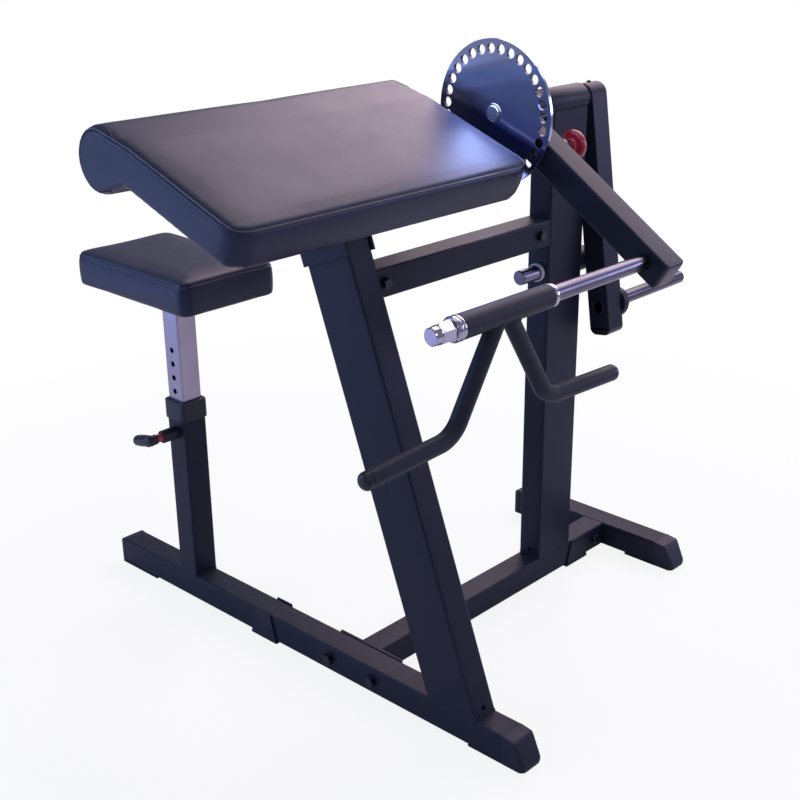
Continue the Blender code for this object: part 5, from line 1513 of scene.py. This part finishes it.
@dataclass
class Handles:
    """The pair of grips on a sleeve that turns on the bar. Sizes are in millimetres."""

    radius: float = 13.5
    sleeve: float = 18.5
    root: float = 6.8
    drop: float = 160.0
    spread: float = math.radians(32)
    bend: float = 50.0
    droop: float = math.radians(2.5)
    half_span: float = 272.0

    def path(self) -> tuple[list[Vector], Vector]:
        """The left grip's centre line across and up, and the direction that it ends in."""
        corner = Vector((self.root + math.tan(self.spread) * self.drop, -self.drop))
        down = Vector((math.sin(self.spread), -math.cos(self.spread)))
        out = Vector((math.cos(self.droop), -math.sin(self.droop)))
        turning = down.angle(out)
        start = corner - down * self.bend * math.tan(turning / 2)
        centre = start + Vector((math.cos(self.spread), math.sin(self.spread))) * self.bend
        first = math.atan2(start.y - centre.y, start.x - centre.x)
        path = [Vector((self.root, 0)), start]
        for i in range(1, 25):
            a = first + turning * i / 24
            path.append(centre + self.bend * Vector((math.cos(a), math.sin(a))))
        path.append(path[-1] + out * (self.half_span - path[-1].x) / out.x)
        return path, out

    def joint_bead(self, side: int) -> tuple[Points, bool]:
        """The closed line where one arm meets the sleeve."""
        cosine, sine = math.cos(self.spread), math.sin(self.spread)
        points = []
        for i in range(48):
            a = math.tau * i / 48
            x = self.radius * math.cos(a)
            lift = self.radius * math.sin(a)
            reach = (math.sqrt(self.sleeve**2 - x**2) + lift * sine) / cosine + 0.4
            y = self.root + reach * sine + lift * cosine
            z = lift * sine - reach * cosine
            points.append(HANDLE @ Vector((x * MM, side * y * MM, z * MM)))
        return points, True

    def build(self) -> None:
        """Makes the sleeve with its two arms, their beads and their end caps."""
        axis = along(HANDLE)
        profile = eased([(15.5, -97), (18.5, -97), (18.5, 101), (15.5, 101)], 1.3)
        sleeve = turned("handle_frame_tubes", profile, axis, GRIP_PAINT)
        path, out = self.path()
        for side, label in ((1, "left"), (-1, "right")):
            points = [Vector((0, side * p.x * MM, p.y * MM)) for p in path]
            arm = bent(points, [self.radius * MM] * len(points), HANDLE)
            combined(sleeve, piece_from("arm", arm, GRIP_PAINT), "UNION")
            heading = Vector((0, side * out.x, out.y)).to_track_quat("Z", "X").to_matrix()
            place = HANDLE @ Matrix.Translation(points[-1]) @ heading.to_4x4()
            cap = [(8, -2), (8, 0.3), (12.7, 0.3), (13.5, 1.1), (13.5, 4)]
            cap += [(4.5 + x, 4 + y) for x, y in arc(0, 0, 9, 10, 90, 8)]
            piece = turned(f"grip_cap_{label}", cap, place, PLASTIC)
            stand_for(piece, PLASTIC, f"grip_end_cap_{label}")
        bore = turned("bore", [(12.8, -120), (12.8, 120)], axis, GRIP_PAINT)
        combined(sleeve, bore, "DIFFERENCE")
        shaded(sleeve.data, 40)
        stand_for(even_normals(sleeve), GRIP_PAINT, "handle_frame")
        paths = [self.joint_bead(1), self.joint_bead(-1)]
        Beads("handle_weld_beads", "handles", paths, 1.6).build()


@dataclass
class SeatPlunger:
    """The seat's pull pin with its angled knob. Sizes are in millimetres."""

    arm: float = 48.0
    knob: float = 58.7

    def build(self) -> None:
        """Turns the barrel and the sleeve, and moulds the angled knob."""
        place = Matrix.Translation((SEAT_X, -0.305, 0.3514)) @ AGAINST_Y
        barrel = [(11, -2.3), (12, -1.4), (12, 25), (11.2, 25.8), (11.2, 27.2), (12, 28)]
        barrel += [(12, 33.4), (10.6, 35), (8, 35), (8, 20)]
        lathe("seat_pin_barrel", "turned", barrel, place, PLASTIC)
        lathe("seat_pin_sleeve", "ring", ring_profile(7.7, 5.3, 17.6, 47, 0.6), place, RED, True)
        hub = eased([(7, 47.3), (9.6, 47.3), (9.6, 67.3), (7, 67.3)], 2.2, 4)
        knob = turned("seat_pin_knob_moulded", hub, place, PLASTIC)
        angles = [math.radians(15 * i) for i in range(7)]
        reach = [9 * math.sin(a) for a in angles[::-1]]
        reach += [-(self.arm - 9) * i / 12 for i in range(1, 13)]
        reach += [9 * -math.sin(a) - self.arm + 9 for a in angles[1:]]
        radii = [(1.2 + 9 * math.cos(a)) * MM for a in angles[::-1]]
        radii += [(10.2 + 0.8 * math.sin(math.pi * i / 12)) * MM for i in range(1, 13)]
        radii += [(1.2 + 9 * math.cos(a)) * MM for a in angles[1:]]
        droop = math.radians(14)
        aim = Vector((math.cos(droop), math.sin(droop), 0))
        points = [aim * x * MM + Vector((0, 0, self.knob * MM)) for x in reach]
        combined(knob, piece_from("arm", bent(points, radii, place), PLASTIC), "UNION")
        shaded(knob.data, 46)
        stand_for(knob, PLASTIC, "seat_pin_knob")
        refined("seat_pin", STEEL, 0.3)
        refined("seat_pin_spring", STEEL, 0)


@dataclass
class Studio:
    """The camera, the pale surroundings and the lights."""

    eye: tuple[float, float, float] = (1.57339, -1.66221, 1.31980)
    yaw: float = math.radians(40.827)
    pitch: float = math.radians(-23.014)
    roll: float = math.radians(0.603)
    lens: float = 59.70
    shift: tuple[float, float] = (-0.0853, 0.0384)
    mirrored: float = 0.12
    fill: tuple[float, float, float] = (0.18, 0.21, 0.285)
    shadow: tuple[float, float, float] = (0.8, 1.7, 0.87)

    def camera(self) -> None:
        """Sets the camera that the reference photograph was taken with."""
        level = math.cos(self.pitch)
        ahead = Vector((-math.sin(self.yaw) * level, math.cos(self.yaw) * level, math.sin(self.pitch)))
        right = Vector((math.cos(self.yaw), math.sin(self.yaw), 0))
        up = right.cross(ahead)
        tilted = right * math.cos(self.roll) + up * math.sin(self.roll)
        raised = up * math.cos(self.roll) - right * math.sin(self.roll)
        lens = bpy.data.cameras.new("camera")
        lens.lens = self.lens
        lens.sensor_width = 36
        lens.shift_x, lens.shift_y = self.shift
        thing = placed("camera", lens)
        facing = Matrix((tilted, raised, -ahead)).transposed().to_4x4()
        thing.matrix_world = Matrix.Translation(self.eye) @ facing
        bpy.context.scene.camera = thing

    def seen(self, graph: Graph) -> Any:
        """The share of plain white that a ray sees: all for the camera, a little for mirrors."""
        path = graph.add("ShaderNodeLightPath").outputs
        direct = graph.math("MAXIMUM", path["Is Camera Ray"], path["Is Transmission Ray"])
        return graph.math("MAXIMUM", direct, graph.times(path["Is Glossy Ray"], self.mirrored))

    def world(self) -> None:
        """White for what the camera and mirrors see, and a weaker fill for the rest."""
        world = bpy.data.worlds.new("pale_surround")
        bpy.context.scene.world = world
        world.use_nodes = True
        graph = Graph(world.node_tree)
        share = self.seen(graph)
        channels = zip(("Red", "Green", "Blue"), self.fill)
        mixed = {name: graph.span(share, 0, 1, low, 1.0) for name, low in channels}
        shader = world.node_tree.nodes["Background"]
        graph.feed(shader.inputs["Color"], graph.add("ShaderNodeCombineColor", mixed).outputs["Color"])
        graph.feed(shader.inputs["Strength"], 1.0)

    def floor(self) -> None:
        """A plain pale floor that keeps a faint shadow."""
        shape = bmesh.new()
        bmesh.ops.create_grid(shape, x_segments=1, y_segments=1, size=14)
        mesh = bpy.data.meshes.new("floor")
        shape.to_mesh(mesh)
        shape.free()
        material = bpy.data.materials.new("pale_floor")
        material.use_nodes = True
        graph = Graph(material.node_tree)
        material.node_tree.nodes.clear()
        place = graph.add("ShaderNodeTexCoord").outputs["Object"]
        reach = graph.add("ShaderNodeVectorMath", {0: place}, operation="LENGTH").outputs["Value"]
        share = graph.times(self.seen(graph), graph.span(reach, *self.shadow, 1.0))
        white = graph.add("ShaderNodeEmission", {"Color": (1, 1, 1, 1), "Strength": 1.0})
        matt = graph.add("ShaderNodeBsdfDiffuse", {"Color": (0.8, 0.8, 0.8, 1)})
        mixed = graph.add("ShaderNodeMixShader", {0: share, 1: matt.outputs[0], 2: white.outputs[0]})
        graph.add("ShaderNodeOutputMaterial", {"Surface": mixed.outputs[0]})
        mesh.materials.append(material)
        placed("floor", mesh)

    def build(self) -> None:
        """Sets up everything that is not the machine."""
        self.camera()
        self.world()
        self.floor()
        aim = (0.1, -0.1, 0.5)
        light_box("key", (-1.75, -2.55, 1.8), (0.1, -0.1, 0.7), (1.6, 1.1), 44, (0.31, 0.46, 1.0))
        light_box("low", (-1.75, -2.1, 0.2), (0.1, 0.0, 0.8), (1.9, 0.8), 13, (0.32, 0.45, 1.0))
        light_box("front", (2.3, -2.5, 2.1), aim, (0.8, 0.8), 8, (0.9, 0.92, 1.0))
        light_box("sheen", (-0.9, 2.6, 2.8), (0.0, -0.3, 0.95), (3.2, 2.2), 103, (1.0, 0.77, 0.87))
        light_box("rim", (0.8, 2.3, 2.2), (0.2, 0.0, 0.95), (0.9, 0.9), 7, (0.62, 0.72, 1.0))
        light_box("back", (2.3, 2.9, 1.3), (0.2, 0.3, 0.8), (1.1, 1.0), 34, (0.6, 0.55, 1.0))
        light_box("top", (0.2, -0.2, 3.4), aim, (2.4, 2.4), 20, (1.0, 0.97, 0.95))
        light_box("side", (3.0, 0.3, 1.9), aim, (1.4, 1.4), 9, (0.66, 0.62, 1.0))
        glow = (0.17, 0.045, 0.985)
        light_box("glow", glow, (0.17, -0.06, 0.88), (0.13, 0.06), 0.5, (0.42, 0.5, 1.0))
        bpy.context.scene.view_settings.view_transform = "Standard"


def main() -> None:
    """Builds and dresses the machine."""
    logging.basicConfig(level=logging.INFO, format="%(name)s: %(message)s")
    ArmPad("arm_pad_upholstery", "arm_pad", 6 * MM, 4 * MM, 0.85).build()
    SeatCushion("seat_cushion_upholstery", "seat_cushion", 5 * MM, 4 * MM, 0.85).build()
    for part in (TubeFrame(), Pivot(), WeightArm(), Lever(), Handles(), SeatPlunger()):
        part.build()
    Studio().build()


if __name__ == "__main__":
    main()
